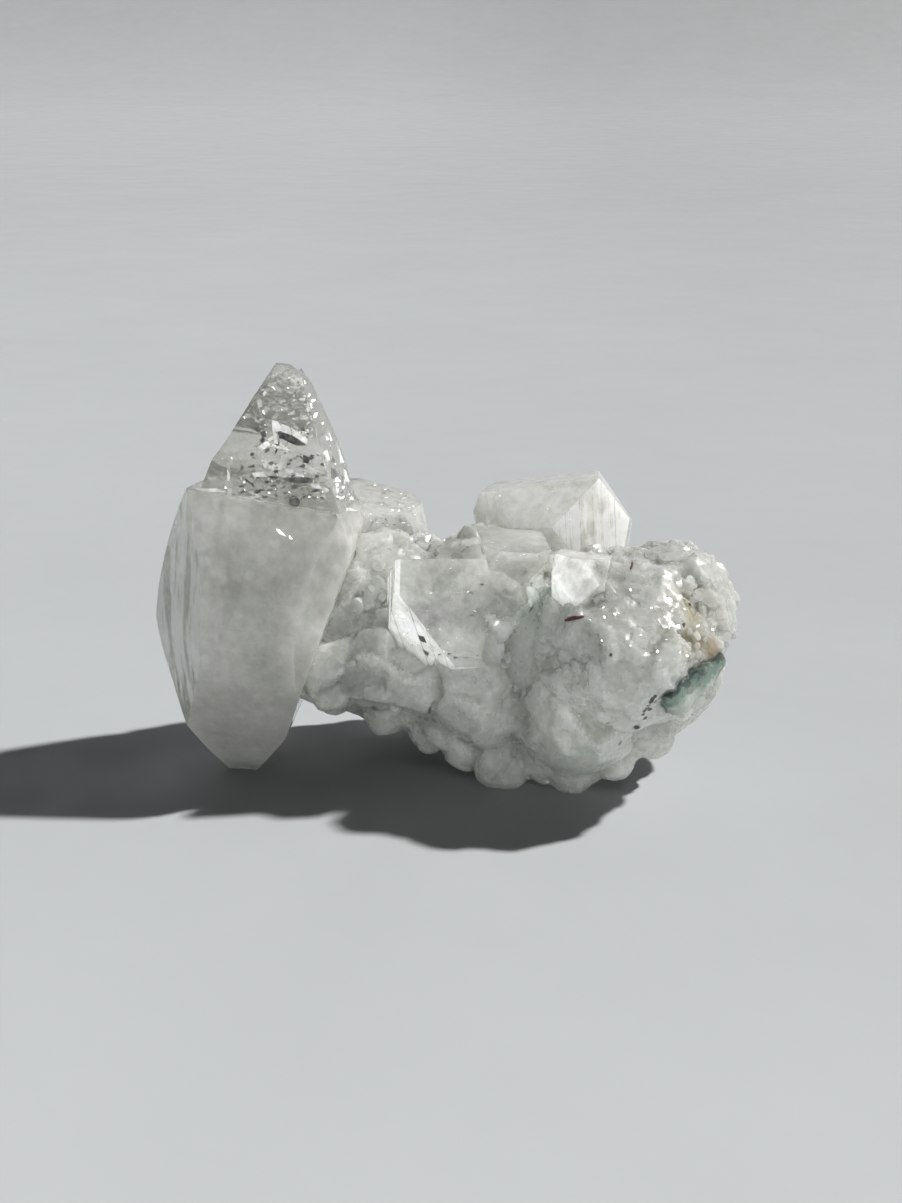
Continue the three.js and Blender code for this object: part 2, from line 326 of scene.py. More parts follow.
# Its outlines from above downwards: level and reach from the axis.
TALL_SIDE = [
    (7.6, 4.9), (5.2, 6.05), (2.2, 7.05), (-0.9, 7.75), (-3.9, 7.9), (-6.2, 7.2),
    (-11.6, 4.85), (-14.8, 2.8), (TALL_FOOT, 1.5),
]
TALL_RIGHT_SIDE = [
    (6.6, 5.0), (4.2, 6.4), (2.7, 6.5), (-11.8, 2.95), (-14.6, 1.3), (TALL_FOOT, 0.2),
]
TALL_CORNER = [(9, 8.05), (-4, 8.0), (-11.6, 6.7), (TALL_FOOT, 5.8)]
TALL_CAP_SIDE = [(TALL_TOP, 0.9), (8.8, 4.2), (TALL_LEDGE_HEIGHT, 4.7)]
TALL_CAP_FRONT = [(TALL_TOP, 0.9), (9.0, 4.15), (TALL_LEDGE_HEIGHT, 5.3)]
TALL_CAP_RIGHT = [(TALL_TOP, 1.15), (3.0, 6.95)]
# The ledge falls towards this azimuth by this slope, in degrees.
TALL_LEDGE_WAY = 70
TALL_LEDGE_SLOPE = 8.5
# The two small planes that blunt the point.
TALL_TOP_CHIPS = face_planes([(225, 42, 0.9, 15.3), (45, 40, 1.1, 15.4)])

TALL = Crystal(
    (-13.8, 0, 15.85),
    side_rows(0, TALL_RIGHT_SIDE)
    + side_rows(90, TALL_SIDE)
    + side_rows(180, TALL_SIDE)
    + side_rows(270, TALL_SIDE)
    + [(azimuth, 90, TALL_PRISM_REACH, 0) for azimuth in (45, 135, 225, 315)]
    + [(TALL_LEDGE_WAY, TALL_LEDGE_SLOPE, 0, TALL_LEDGE_HEIGHT), (0, 180, 0, TALL_FOOT)],
    lean_right=6,
    turn=-5,
    poke=2.6,
)
TALL_PRISM_FACES = [n for n, row in enumerate(TALL.rows) if row[1:] == (90, TALL_PRISM_REACH, 0)]

CRYSTALS = {
    "SmallCrystal": Crystal(
        (9.25, -8.0, 17.4),
        [
            (270, 90, 1.7, 0), (180, 90, 1.9, 0), (0, 90, 2.0, 0), (90, 90, 2.4, 0),
            (225, 180 - PYRAMID_SLOPE, 2.0, -0.1), (315, 180 - PYRAMID_SLOPE, 2.0, -0.5),
            (225, PYRAMID_SLOPE, 2.2, 0.6), (315, PYRAMID_SLOPE, 2.1, 0.6),
            (0, 0, 0, 1.75), (0, 180, 0, -2.1),
        ],
        lean_right=6, lean_back=8, turn=-12, poke=0.5,
    ),
    "MiddleCrystal": Crystal(
        (4.6, -4.2, 19.2),
        [
            (270, 116, 2.7, 0), (0, 122, 2.7, 0), (180, 112, 2.5, 0), (90, 120, 2.7, 0),
            (270, 60, 2.9, 0), (0, 64, 2.6, 0), (180, 64, 2.5, 0), (90, 64, 2.9, 0),
            (225, 90, 2.95, 0), (315, 90, 2.9, 0), (0, 0, 0, 0.1), (0, 180, 0, -3.3),
        ],
        lean_right=6, lean_back=-2, turn=6, poke=0.4,
        striated=((4, 0.05, 0.5), (8, 0.06, 0.35)),
    ),
    "FrontCrystal": Crystal(
        (0.4, -1.5, 14.0),
        [
            (270, 90, 5.1, 0), (180, 90, 5.4, 0), (225, 90, 7.15, 0), (0, 90, 5.6, 0),
            (90, 90, 4.6, 0), (226, 118, 6.25, 0), (270, 140, 5.1, -3.9), (0, 160, -3.0, -6.9),
            (180, 125, 5.9, -3.4), (315, PYRAMID_SLOPE, 6.5, 1.5), (90, 32, -5.1, 4.4),
            (45, 60, 5.4, 1.2), (0, 0, 0, 4.6), (0, 180, 0, -6.6),
        ],
        lean_right=2, lean_back=2, turn=8, poke=1.4,
        striated=((1, 0.1, 0.4), (2, 0.07, 0.25), (5, 0.05, 0.5)),
    ),
    "RearCrystal": Crystal(
        (7.9, 5.0, 17.9),
        [
            (270, 46, 2.3, 4.0), (12, 57, 3.83, 4.0), (90, 60, 3.2, 3.0), (180, 62, 5.1, 3.0),
            (180, 6, -4.4, 4.05), (315, 90, 4.75, 0), (225, 90, 5.1, 0), (45, 90, 5.2, 0),
            (135, 90, 5.5, 0), (270, 120, 5.0, 0), (90, 120, 4.6, 0), (0, 100, 6.2, 0),
            (180, 100, 5.7, 0), (0, 0, 0, 4.3), (0, 180, 0, -4.4),
        ],
        lean_right=-3, lean_back=6, turn=-15, poke=0.5,
        striated=((5, 0.035, 0.25), (6, 0.03, 0.25)),
    ),
    "RearLeftCrystal": Crystal(
        (-7.1, 6.2, 16.1),
        [(azimuth, 90, 4.2, 0) for azimuth in (0, 90, 180, 270)]
        + [(azimuth, PYRAMID_SLOPE, 4.5, 2.6) for azimuth in (45, 135, 225, 315)]
        + [(0, 0, 0, 3.9), (0, 180, 0, -5)],
        lean_right=10, lean_back=-4, turn=28, poke=0.8,
    ),
}
NODE_OF = {
    "SmallCrystal": "small_crystal",
    "MiddleCrystal": "middle_crystal",
    "FrontCrystal": "front_crystal",
    "RearCrystal": "rear_crystal",
    "RearLeftCrystal": "rear_left_crystal",
}


def groove_cutter(crystal, number, depth, pitch, roll):
    """What the growth grooves of one face take away.

    The cut's surface is a broken line across the face, carried along the face's own up. Its
    height is a random walk of flats and slopes between 0 and depth below the face."""
    width, half_length, clearance = 24, 14, 3.0
    normal = crystal.normals[number]
    along = unit(crystal.axes[:, 2] - normal * (crystal.axes[:, 2] @ normal))
    across = np.cross(along, normal)
    foot = normal * (crystal.offsets[number] - normal @ crystal.centre) + crystal.centre
    count = int(width / pitch)
    place = np.cumsum(roll.uniform(0.25, 1.75, count)) * pitch - width / 2
    low = -depth * roll.uniform(0.0, 1.0, count) ** 1.5 - 0.004
    place = np.repeat(place, 2)[1:]
    place[1::2] -= 0.3 * pitch * roll.uniform(0.1, 1.0, len(place[1::2]))
    place = np.maximum.accumulate(place + np.arange(len(place)) * 1e-4)
    low = np.repeat(low, 2)[:-1]
    line = np.stack([place, low], axis=1)
    line = np.concatenate([line, [[place[-1], clearance], [place[0], clearance]]])
    points = foot + line[:, :1] * across + line[:, 1:] * normal
    ends = np.concatenate([points - half_length * along, points + half_length * along])
    faces = [face[::-1] for face in flat_ended(2, len(line))]
    return make_mesh("grooves", ends, faces)


def outline_reach(outline, heights, soft):
    """An outline's reach at some heights, with its corners rounded over a soft distance."""
    line = np.array(outline)[::-1]
    near = heights[:, None] + np.linspace(-soft, soft, 9)
    return np.interp(near, line[:, 0], line[:, 1]).mean(axis=1)


def tall_reaches(body, cap, roll):
    """How far the tallest crystal's four sides and its corners stand from the axis.

    Faint level steps are taken off each side. The cap has no corners of its own, so its corners'
    reach is further than any edge."""
    outlines = [
        (TALL_RIGHT_SIDE, TALL_CAP_RIGHT),
        (TALL_SIDE, TALL_CAP_SIDE),
        (TALL_SIDE, TALL_CAP_SIDE),
        (TALL_SIDE, TALL_CAP_FRONT),
    ]
    heights = np.concatenate([body, cap])
    steps = np.cumsum(roll.uniform(0.25, 1.6, 60)) + TALL_FOOT
    step_depth = np.where(heights < TALL_LEDGE_HEIGHT, 0.035, 0.01)
    sides = []
    for n, (low, high) in enumerate(outlines):
        reach = np.concatenate([outline_reach(low, body, 0.7), outline_reach(high, cap, 0.05)])
        level = np.searchsorted(steps + 0.2 * n, heights)
        sides.append(reach - step_depth * roll.uniform(0, 1, 80)[level])
    beyond = np.full(len(cap), 20.0)
    return sides, np.concatenate([outline_reach(TALL_CORNER, body, 1.0), beyond])


def tall_quarter(sides, corner, n, roll):
    """The places across the axis of one side of each ring, and of the prism face after it.

    The prism face carries upright grooves, which fade where the face is narrow. They are faint on
    the face to the right of the front, which is smooth."""
    side_columns, corner_columns, groove_count, groove_width = 12, 18, 140, 7
    here, after = sides[n], sides[(n + 1) % 4]
    edge = np.minimum(corner, (here + after) / math.sqrt(2)) * math.sqrt(2)
    before = np.minimum(corner, (sides[n - 1] + here) / math.sqrt(2)) * math.sqrt(2)
    first, last = here - before, edge - here
    across = np.linspace(0, 1, side_columns, endpoint=False)
    lateral = first[:, None] * (1 - across) + last[:, None] * across
    azimuth = n * math.pi / 2
    out = np.array([math.cos(azimuth), math.sin(azimuth)])
    left = np.array([-math.sin(azimuth), math.cos(azimuth)])
    side = here[:, None, None] * out + lateral[..., None] * left
    start = here[:, None] * out + last[:, None] * left
    stop = after[:, None] * left + (edge - after)[:, None] * out
    across = np.linspace(0, 1, corner_columns, endpoint=False)
    line = start[:, None] * (1 - across)[:, None] + stop[:, None] * across[:, None]
    span = np.linalg.norm(stop - start, axis=1)[:, None]
    grooves = 0.11 * roll.uniform(0, 1, groove_count) ** 1.4
    places = np.linspace(-groove_width, groove_width, groove_count)
    depth = np.interp((across[None, :] - 0.5) * span, places, grooves)
    strength = 0.1 if n == 3 else 0.8
    depth = depth * np.minimum(1, 2.5 * span / 8) * (across > 0) * strength
    return [side, line - depth[..., None] * unit(out + left)]


def tall_loft():
    """The tallest crystal as rings of an eight-sided section carried up its axis.

    A ring's four sides follow the reaches of the pyramid outlines at its height, and its four
    corners the prism faces' reach. Rings near the ledge tilt to its slope. The two chips at the
    point and the flat at the floor press the points beyond them back onto their planes."""
    roll = np.random.default_rng(11)
    body = np.linspace(TALL_FOOT, TALL_LEDGE_HEIGHT, 230)
    cap = np.linspace(TALL_LEDGE_HEIGHT, TALL_TOP, 110)
    heights = np.concatenate([body, cap])
    sides, corner = tall_reaches(body, cap, roll)
    parts = [part for n in range(4) for part in tall_quarter(sides, corner, n, roll)]
    flat = np.concatenate(parts, axis=1)
    way = math.radians(TALL_LEDGE_WAY)
    tilt = math.tan(math.radians(TALL_LEDGE_SLOPE)) * np.array([math.cos(way), math.sin(way)])
    share = smooth_step(-3.0, TALL_LEDGE_HEIGHT, heights)
    share = share * (1 - smooth_step(TALL_LEDGE_HEIGHT, 11.0, heights))
    share[len(body) - 1:len(body) + 1] = 1.0
    level = heights[:, None] - share[:, None] * (flat @ tilt)
    points = np.concatenate([flat, level[..., None]], axis=2)
    for normal, offset in zip(*TALL_TOP_CHIPS):
        limit = (offset - points[..., 0] * normal[0] - points[..., 1] * normal[1]) / normal[2]
        points[..., 2] = np.minimum(points[..., 2], limit)
    columns = points.shape[1]
    points = points.reshape(-1, 3) @ TALL.axes.T + TALL.centre
    points[:, 2] = np.maximum(points[:, 2], 0)
    return points, flat_ended(len(heights), columns)


def lens_void(centre, normal, radii, thick, roll):
    """A crack inside a crystal: a thin wavy lens of air, whose faces look into it.

    Rows run from one pole of a flattened ball to the other. The rim wanders with the angle, and
    the lens bends with two slow waves."""
    rows, columns = 9, 28
    fall, around = ball_angles(rows, columns)
    rim = 1 + 0.25 * np.sin(3 * around + roll.uniform(0, 6))
    rim = rim + 0.15 * np.sin(7 * around + roll.uniform(0, 6))
    u = radii[0] * rim * np.sin(fall) * np.cos(around)
    v = radii[1] * rim * np.sin(fall) * np.sin(around)
    w = thick * np.cos(fall) + 0.06 * radii[0] * np.sin(2.2 * u / radii[0] + 1) * np.sin(fall)
    body = np.stack([u, v, w], axis=-1).reshape(-1, 3)
    poles = np.array([[0, 0, thick], [0, 0, -thick]])
    normal = unit(np.array(normal, dtype=float))
    side = unit(np.cross([0.3, 0.2, 1.0], normal))
    axes = np.stack([side, np.cross(normal, side), normal], axis=1)
    points = np.concatenate([body, poles]) @ axes.T + np.array(centre)
    return points, pole_ended(rows, columns)


# Crack places in the tall crystal: centre, the way the crack faces, radii and half thickness.
TALL_CRACKS = [
    ((-11.5, -1.5, 26.4), (-0.3, -0.22, 0.93), (1.35, 0.8), 0.05),
    ((-12.6, -1.2, 25.4), (0.25, -0.2, 0.94), (0.8, 0.45), 0.04),
    ((-12.0, -1.4, 23.4), (0.05, -0.15, 0.98), (2.0, 0.6), 0.03),
    ((-10.6, -0.8, 22.6), (-0.06, -0.1, 0.98), (1.5, 0.5), 0.03),
    ((-13.4, -0.9, 23.9), (0.1, -0.2, 0.96), (0.9, 0.4), 0.03),
    ((-10.3, -1.6, 23.6), (-0.15, -0.2, 0.95), (0.8, 0.35), 0.03),
    ((-15.0, -2.6, 22.1), (0.05, -0.12, 0.98), (2.2, 0.5), 0.03),
    ((-11.4, -4.2, 19.6), (-0.2, -0.1, 0.96), (0.55, 0.3), 0.04),
    ((-12.4, -1.6, 28.8), (0.2, -0.3, 0.9), (0.45, 0.3), 0.03),
]


def flat_voids(centres, radii, up, spread, roll):
    """Many tiny flat pockets of air: eight-faced lenses whose faces look into them.

    Each lies across a direction near up, turned by a random angle. Its two widths differ, and
    its thickness is a tenth of them."""
    count = len(centres)
    normal = unit(np.array(up, dtype=float) + spread * roll.normal(size=(count, 3)))
    side = unit(np.cross(normal, unit(roll.normal(size=(count, 3)))))
    reach = radii[:, None] * [1.0, 0.5, 0.1]
    arms = np.stack([side, np.cross(normal, side), normal], axis=1) * reach[..., None]
    points = np.concatenate([arms, -arms], axis=1) + np.array(centres)[:, None]
    faces = []
    for x, y, z in itertools.product((0, 3), (1, 4), (2, 5)):
        upward = (x == 0) == ((y == 1) == (z == 2))
        faces.append([z, y, x] if upward else [x, y, z])
    faces = np.array(faces)[None] + 6 * np.arange(count)[:, None, None]
    return points.reshape(-1, 3), faces.reshape(-1, 3).tolist()


def cap_veil(count, roll):
    """Places inside the tallest crystal's cap, most of them in a sheet above the ledge."""
    height = TALL_LEDGE_HEIGHT + 0.4 + 7.0 * roll.uniform(0, 1, count) ** 1.8
    left, front, right = (
        np.interp(height, *np.array(outline)[::-1].T)
        for outline in (TALL_CAP_SIDE, TALL_CAP_FRONT, TALL_CAP_RIGHT)
    )
    across = roll.uniform(-0.85, 0.9, count)
    x = np.where(across < 0, across * left, across * right)
    y = roll.uniform(-0.85, 0.3, count) * front
    return np.stack([x, y, height], axis=1) @ TALL.axes.T + TALL.centre


def inner_places(crystal, count, depths, roll):
    """Places inside a crystal, between two depths under its faces."""
    size = 2.0 * np.abs(crystal.offsets - crystal.normals @ crystal.centre).max()
    places = crystal.centre + roll.uniform(-size, size, (400 * count, 3))
    depth = crystal.depth(places)
    return places[(depth > depths[0]) & (depth < depths[1])][:count]


def with_shells(mesh, shells):
    """A mesh and separate shells inside it, as one mesh."""
    own = rows_of(mesh), [polygon.vertices for polygon in mesh.polygons]
    return make_mesh(mesh.name, *gathered([own, shells]))


# Bright flakes on the tallest crystal's cap, as the camera sees their outlines: mm across and
# above the picture's middle, at the specimen's distance.
WEDGE_FLAKES = [
    [(-13.8, 14.0), (-13.1, 13.8), (-13.0, 13.2), (-13.7, 13.0)],
    [(-13.1, 13.7), (-12.3, 13.4), (-12.3, 12.8), (-13.0, 13.1)],
    [(-12.3, 13.4), (-11.6, 12.9), (-11.6, 12.4), (-12.2, 12.8)],
    [(-11.6, 12.9), (-11.0, 12.6), (-11.1, 12.1), (-11.6, 12.4)],
    [(-13.7, 13.0), (-13.4, 13.0), (-13.3, 12.1), (-13.6, 12.2)],
    [(-14.8, 11.9), (-14.3, 12.3), (-13.8, 12.4), (-13.8, 12.1), (-14.4, 11.7)],
    [(-14.1, 12.5), (-13.7, 12.8), (-13.6, 12.5), (-14.0, 12.3)],
]
# Pale flakes just under the cap's faces.
PALE_FLAKES = [
    [(-11.6, 11.1), (-11.3, 11.0), (-11.6, 10.2), (-11.8, 10.4)],
    [(-15.2, 9.8), (-14.2, 9.8), (-14.2, 9.6), (-15.1, 9.5)],
    [(-13.5, 10.0), (-12.6, 10.0), (-12.7, 9.8), (-13.4, 9.7)],
    [(-13.0, 11.4), (-12.3, 11.3), (-12.5, 11.1), (-13.1, 11.1)],
    [(-9.8, 11.3), (-9.5, 11.1), (-9.7, 10.7), (-9.8, 10.9)],
    [(-9.1, 8.9), (-8.6, 8.7), (-8.7, 8.3), (-9.0, 8.4)],
    [(-8.4, 9.7), (-8.1, 9.2), (-8.2, 8.9), (-8.5, 9.2)],
    [(-15.3, 9.9), (-14.1, 10.0), (-12.8, 10.2), (-12.7, 9.9), (-14.1, 9.6), (-15.2, 9.6)],
    [(-16.2, 9.7), (-15.5, 9.8), (-15.5, 9.6), (-16.2, 9.4)],
    [(-14.5, 16.0), (-14.2, 16.4), (-13.3, 16.6), (-13.3, 16.3), (-14.0, 16.2), (-14.4, 15.8)],
    [(-13.0, 17.3), (-12.7, 17.3), (-12.7, 16.8), (-12.9, 16.8)],
    [(-15.0, 15.5), (-14.6, 15.7), (-14.5, 15.0), (-14.8, 14.9)],
    [(-9.8, 13.6), (-9.5, 13.3), (-9.1, 12.4), (-9.3, 12.3)],
    [(-9.1, 12.2), (-8.7, 12.0), (-8.2, 10.7), (-8.5, 10.7)],
    [(-8.6, 10.3), (-8.1, 10.1), (-7.8, 9.2), (-8.3, 9.3)],
    [(-7.9, 9.0), (-7.5, 8.9), (-7.2, 8.1), (-7.6, 8.1)],
    [(-9.9, 11.5), (-9.5, 11.7), (-9.3, 10.9), (-9.8, 10.7)],
    [(-12.1, 11.0), (-11.8, 11.1), (-11.7, 10.3), (-11.9, 10.2)],
    [(-14.9, 11.9), (-14.1, 12.3), (-13.8, 12.0), (-14.5, 11.6)],
    [(-17.3, 12.4), (-17.1, 12.4), (-17.0, 9.3), (-17.2, 9.3)],
]
# Bright patches just under the ledge.
LEDGE_FLAKES = [
    [(-19.6, 8.7), (-17.6, 8.7), (-15.6, 8.5), (-15.6, 8.3), (-17.6, 8.4), (-19.5, 8.5)],
    [(-19.0, 8.2), (-17.6, 8.1), (-15.3, 8.0), (-15.0, 7.7), (-16.2, 7.7), (-18.4, 7.9)],
    [(-17.2, 8.7), (-16.9, 8.7), (-16.9, 7.6), (-17.2, 7.6)],
    [(-14.4, 7.6), (-13.5, 7.5), (-13.5, 7.3), (-14.4, 7.3)],
    [(-10.2, 7.3), (-9.7, 7.3), (-9.7, 7.1), (-10.2, 7.1)],
    [(-8.8, 7.3), (-7.8, 7.2), (-7.2, 7.0), (-8.2, 7.0)],
]
# Bright chips on the tallest crystal's body.
CHIPS = [
    [(-13.5, 5.6), (-12.9, 5.5), (-12.5, 5.2), (-12.7, 5.0), (-13.2, 5.2)],
    [(-12.5, 5.1), (-12.1, 5.0), (-12.0, 4.8), (-12.4, 4.8)],
]
# Dark cracks that show at the cap's faces.
DARK_FLAKES = [
    [(-13.4, 13.1), (-12.2, 12.8), (-11.2, 12.5), (-11.2, 12.0), (-11.9, 12.0), (-13.2, 12.6)],
    [(-12.9, 9.5), (-11.6, 9.6), (-10.6, 9.5), (-10.7, 9.1), (-11.9, 9.1), (-12.8, 9.3)],
    [(-12.4, 7.9), (-11.8, 8.0), (-11.6, 7.6), (-11.8, 7.2), (-12.3, 7.3), (-12.5, 7.6)],
    [(-9.2, 10.3), (-8.8, 10.1), (-8.8, 9.4), (-9.2, 9.5)],
    [(-8.4, 9.7), (-8.2, 9.5), (-8.1, 8.9), (-8.3, 9.0)],
    [(-12.3, 8.9), (-11.8, 9.0), (-11.8, 8.7), (-12.2, 8.6)],
    [(-11.4, 11.3), (-10.8, 11.1), (-11.0, 10.6), (-11.4, 10.7)],
    [(-15.5, 11.3), (-15.3, 11.5), (-15.1, 11.4), (-15.2, 11.2), (-15.4, 11.2)],
    [(-16.2, 10.3), (-16.1, 10.5), (-15.9, 10.4), (-16.0, 10.1), (-16.2, 10.1)],
    [(-11.2, 11.0), (-10.8, 11.2), (-10.5, 11.1), (-10.7, 10.9), (-11.0, 10.9)],
    [(-11.7, 10.4), (-11.4, 10.6), (-11.2, 10.5), (-11.3, 10.2), (-11.5, 10.3)],
    [(-9.2, 10.9), (-9.1, 11.1), (-8.9, 10.9), (-9.0, 10.7), (-9.2, 10.7)],
    [(-9.0, 9.7), (-8.8, 10.0), (-8.7, 9.8), (-8.7, 9.3), (-8.9, 9.4)],
    [(-10.1, 10.6), (-9.9, 10.7), (-9.8, 10.6), (-9.8, 10.4), (-10.0, 10.5)],
    [(-12.6, 10.9), (-12.3, 11.0), (-12.2, 10.9), (-12.2, 10.8), (-12.4, 10.8)],
    [(-13.7, 10.0), (-13.5, 10.2), (-13.3, 10.1), (-13.3, 9.9), (-13.6, 9.9)],
    [(-14.4, 9.2), (-14.2, 9.3), (-14.0, 9.2), (-14.1, 9.1), (-14.3, 9.1)],
    [(-10.5, 9.7), (-10.3, 9.8), (-10.1, 9.7), (-10.2, 9.5), (-10.4, 9.5)],
    [(-15.1, 13.2), (-14.8, 13.4), (-14.6, 13.2), (-14.7, 13.0), (-15.0, 13.1)],
    [(-14.7, 12.4), (-14.5, 12.7), (-14.3, 12.5), (-14.4, 12.2), (-14.6, 12.2)],
    [(-15.3, 13.7), (-14.9, 13.8), (-14.7, 13.3), (-15.2, 13.2)],
    [(-14.7, 13.0), (-14.3, 13.2), (-14.2, 12.7), (-14.5, 12.6)],
    [(-11.6, 13.3), (-11.3, 13.4), (-11.2, 13.1), (-11.5, 13.1)],
]
# Dark wedges under the front crystal's bright facet.
FRONT_WEDGES = [
    [(-3.0, -2.5), (-2.1, -2.7), (-1.9, -3.2), (-2.5, -3.0)],
    [(-2.3, -3.6), (-1.7, -4.0), (-1.8, -4.2), (-2.1, -4.0)],
]
# Where the crust's faces throw the key light at the camera.
GLINTS = [
    (7.2, -7.7), (9.3, -7.3), (10.2, -3.7), (7.8, 3.4), (8.2, 0.1), (11.8, -1.2),
    (10.7, -1.4), (13.8, -3.4), (15.9, -3.9), (15.4, -0.5), (13.8, 0.9), (18.0, 1.6),
    (17.5, 4.6), (20.6, 4.0), (20.5, -0.7), (-7.2, 2.7), (-6.0, 1.8), (-7.6, 3.2),
    (-3.5, 6.3), (-2.4, 5.5), (-0.5, 4.7), (12.2, 3.2), (16.4, 3.5), (19.6, 0.9),
    (11.6, -3.0), (6.7, -3.0), (8.1, -4.8), (11.3, -5.1), (14.5, -6.8), (20.1, -2.2),
    (5.8, -8.8), (3.8, -7.6), (10.7, -7.6), (12.4, -8.8), (9.0, -9.9),
]
# The corners of a part of the crust with more of them, smaller ones, and how many.
GLINT_CORNERS = [(11.5, -7.6), (20.3, -3.0), (21.9, 3.2), (8.4, 4.3)]
STREWN_GLINTS = 26
# The half widths of both kinds, as shares of the other small crystals'.
GLINT_SIZE = 0.19
STREWN_GLINT_SIZE = 0.13
# Painted light and painted shade on the crust: lighter spots in shaded hollows and low parts,
# darker ones in the crystals' shade and on brightly lit parts; mm across and above, radius and amount.
CRUST_PAINTED_LIGHT_AND_SHADE = [
    (-7.2, -1.0, 3.4, -0.25), (-7.4, -6.2, 4.0, -0.35), (-0.1, -12.0, 3.0, 0.3),
    (4.3, -12.8, 2.6, -0.3), (6.1, -1.0, 3.8, 0.4), (9.5, -8.2, 5.0, 0.22), (16.5, 0.9, 4.5, -0.12),
    (1.5, -3.0, 2.0, 0.1),
]
# Stains on the crust: mm across and above, radius, the share of it that fades, grain and colour.
STAINS = [
    (19.0, -1.8, 3.9, 0.7, 420, (0.63, 0.58, 0.42)),
    (19.9, -3.7, 1.2, 0.8, 900, (0.4, 0.22, 0.07)),
    (6.4, -0.8, 3.6, 0.8, 300, (0.5, 0.57, 0.52)),
    (10.5, -12.6, 3.4, 0.8, 300, (0.55, 0.62, 0.57)),
]
# Dark grains on the crust as the camera sees them: mm across and above, and radius.
DARK_GRAINS = [
    (15.7, -7.3, 0.16), (15.5, -7.5, 0.18), (15.4, -7.7, 0.2), (15.2, -8.0, 0.2), (15.1, -8.2, 0.2),
    (14.9, -8.4, 0.18), (14.8, -8.7, 0.16), (8.2, 4.7, 0.28), (17.9, -1.8, 0.19),
    (15.7, -7.7, 0.19), (15.3, -8.3, 0.19), (14.9, -9.0, 0.22), (14.3, -9.7, 0.25),
    (13.0, -10.9, 0.23), (18.4, -0.2, 0.14), (12.3, -4.1, 0.12),
]


def camera_place():
    """The camera's place, and the ways it looks and holds its upper edge, in the modelling frame."""
    tilt = math.radians(CAMERA_ELEVATION)
    toward = np.array([0, math.cos(tilt), -math.sin(tilt)])
    up = np.array([0, math.sin(tilt), math.cos(tilt)])
    return np.array(CAMERA_TARGET) - CAMERA_DISTANCE * toward, toward, up


def seen_through(mesh):
    """A function that finds where the camera's rays through some places meet a mesh.

    It gives the points and the normals there, and leaves out the rays that miss."""
    faces = [list(polygon.vertices) for polygon in mesh.polygons]
    tree = BVHTree.FromPolygons(rows_of(mesh).tolist(), faces)
    start, toward, up = camera_place()
    right = np.array([1, 0, 0])

    def meet(places):
        rays = [CAMERA_DISTANCE * toward + across * right + above * up for across, above in places]
        hits = [tree.ray_cast(start.tolist(), ray.tolist()) for ray in rays]
        hits = [hit for hit in hits if hit[0] is not None]
        return np.array([hit[0] for hit in hits]), np.array([hit[1] for hit in hits])

    return meet


def placed(meet, table):
    """The rows of a table with their places in the picture turned into places on the mesh."""
    found = []
    for across, above, *rest in table:
        centres, _ = meet([(across, above)])
        if len(centres):
            found.append((centres[0], *rest))
    return found


def glint_way(points):
    """The way a face at each point has to look to throw the key light at the camera."""
    turn, height = math.radians(KEY_TURN), math.radians(KEY_HEIGHT)
    sun = [math.cos(height) * math.cos(turn), math.cos(height) * math.sin(turn), math.sin(height)]
    return unit(unit(camera_place()[0] - points) + sun)


def flakes(meet, outlines, depth, lean=0.0, thick=0.06):
    """Thin plates a depth under the surface, with their outlines where the camera sees them.

    Each is flat, and faces the way that the surface does, or leans from that towards the glint
    way by a share."""
    start_ray = camera_place()[0]
    points, polygons = [], []
    for outline in outlines:
        ring, normals = meet(outline)
        if len(ring) < len(outline):
            continue
        flat = np.array(outline)
        after = np.roll(flat, -1, axis=0)
        if (flat[:, 0] * after[:, 1] - flat[:, 1] * after[:, 0]).sum() < 0:
            ring = ring[::-1]
        middle, normal = ring.mean(axis=0), unit(normals.mean(axis=0))
        way = unit((1 - lean) * normal + lean * glint_way(middle))
        rays = ring - start_ray
        reach = ((middle - depth * normal - start_ray) @ way) / (rays @ way)
        ring = start_ray + rays * reach[:, None]
        start, n = len(points), len(ring)
        points.extend(ring)
        points.extend(ring - thick * way)
        here = np.arange(n)
        after = (here + 1) % n
        polygons += [(start + here).tolist(), (start + n + here[::-1]).tolist()]
        polygons += (start + np.stack([here, here + n, after + n, after], axis=1)).tolist()
    return points, polygons


def fleck_outlines(count, corners, roll, low=0.04, high=0.22):
    """Outlines of small flecks strewn over a four-cornered part of the picture, most low in it."""
    a, b, c, d = np.array(corners, dtype=float)[:, None]
    u = roll.uniform(0, 1, (count, 1))
    v = roll.uniform(0, 1, (count, 1)) ** 1.7
    middle = (1 - v) * ((1 - u) * a + u * b) + v * ((1 - u) * d + u * c)
    size = low + (high - low) * roll.uniform(0, 1, (count, 1, 1)) ** 2.5
    angle = np.linspace(0, 2 * math.pi, 6, endpoint=False)
    ring = np.stack([1.5 * np.cos(angle), 0.6 * np.sin(angle)], axis=-1)
    ring = ring[None] * roll.uniform(0.6, 1.3, (count, 6, 1)) * size
    turn = roll.normal(0, 0.5, count)
    c, s = np.cos(turn)[:, None], np.sin(turn)[:, None]
    ring = np.stack([c * ring[..., 0] - s * ring[..., 1], s * ring[..., 0] + c * ring[..., 1]], axis=-1)
    return [outline.tolist() for outline in middle[:, None] + ring]


# The druse crust

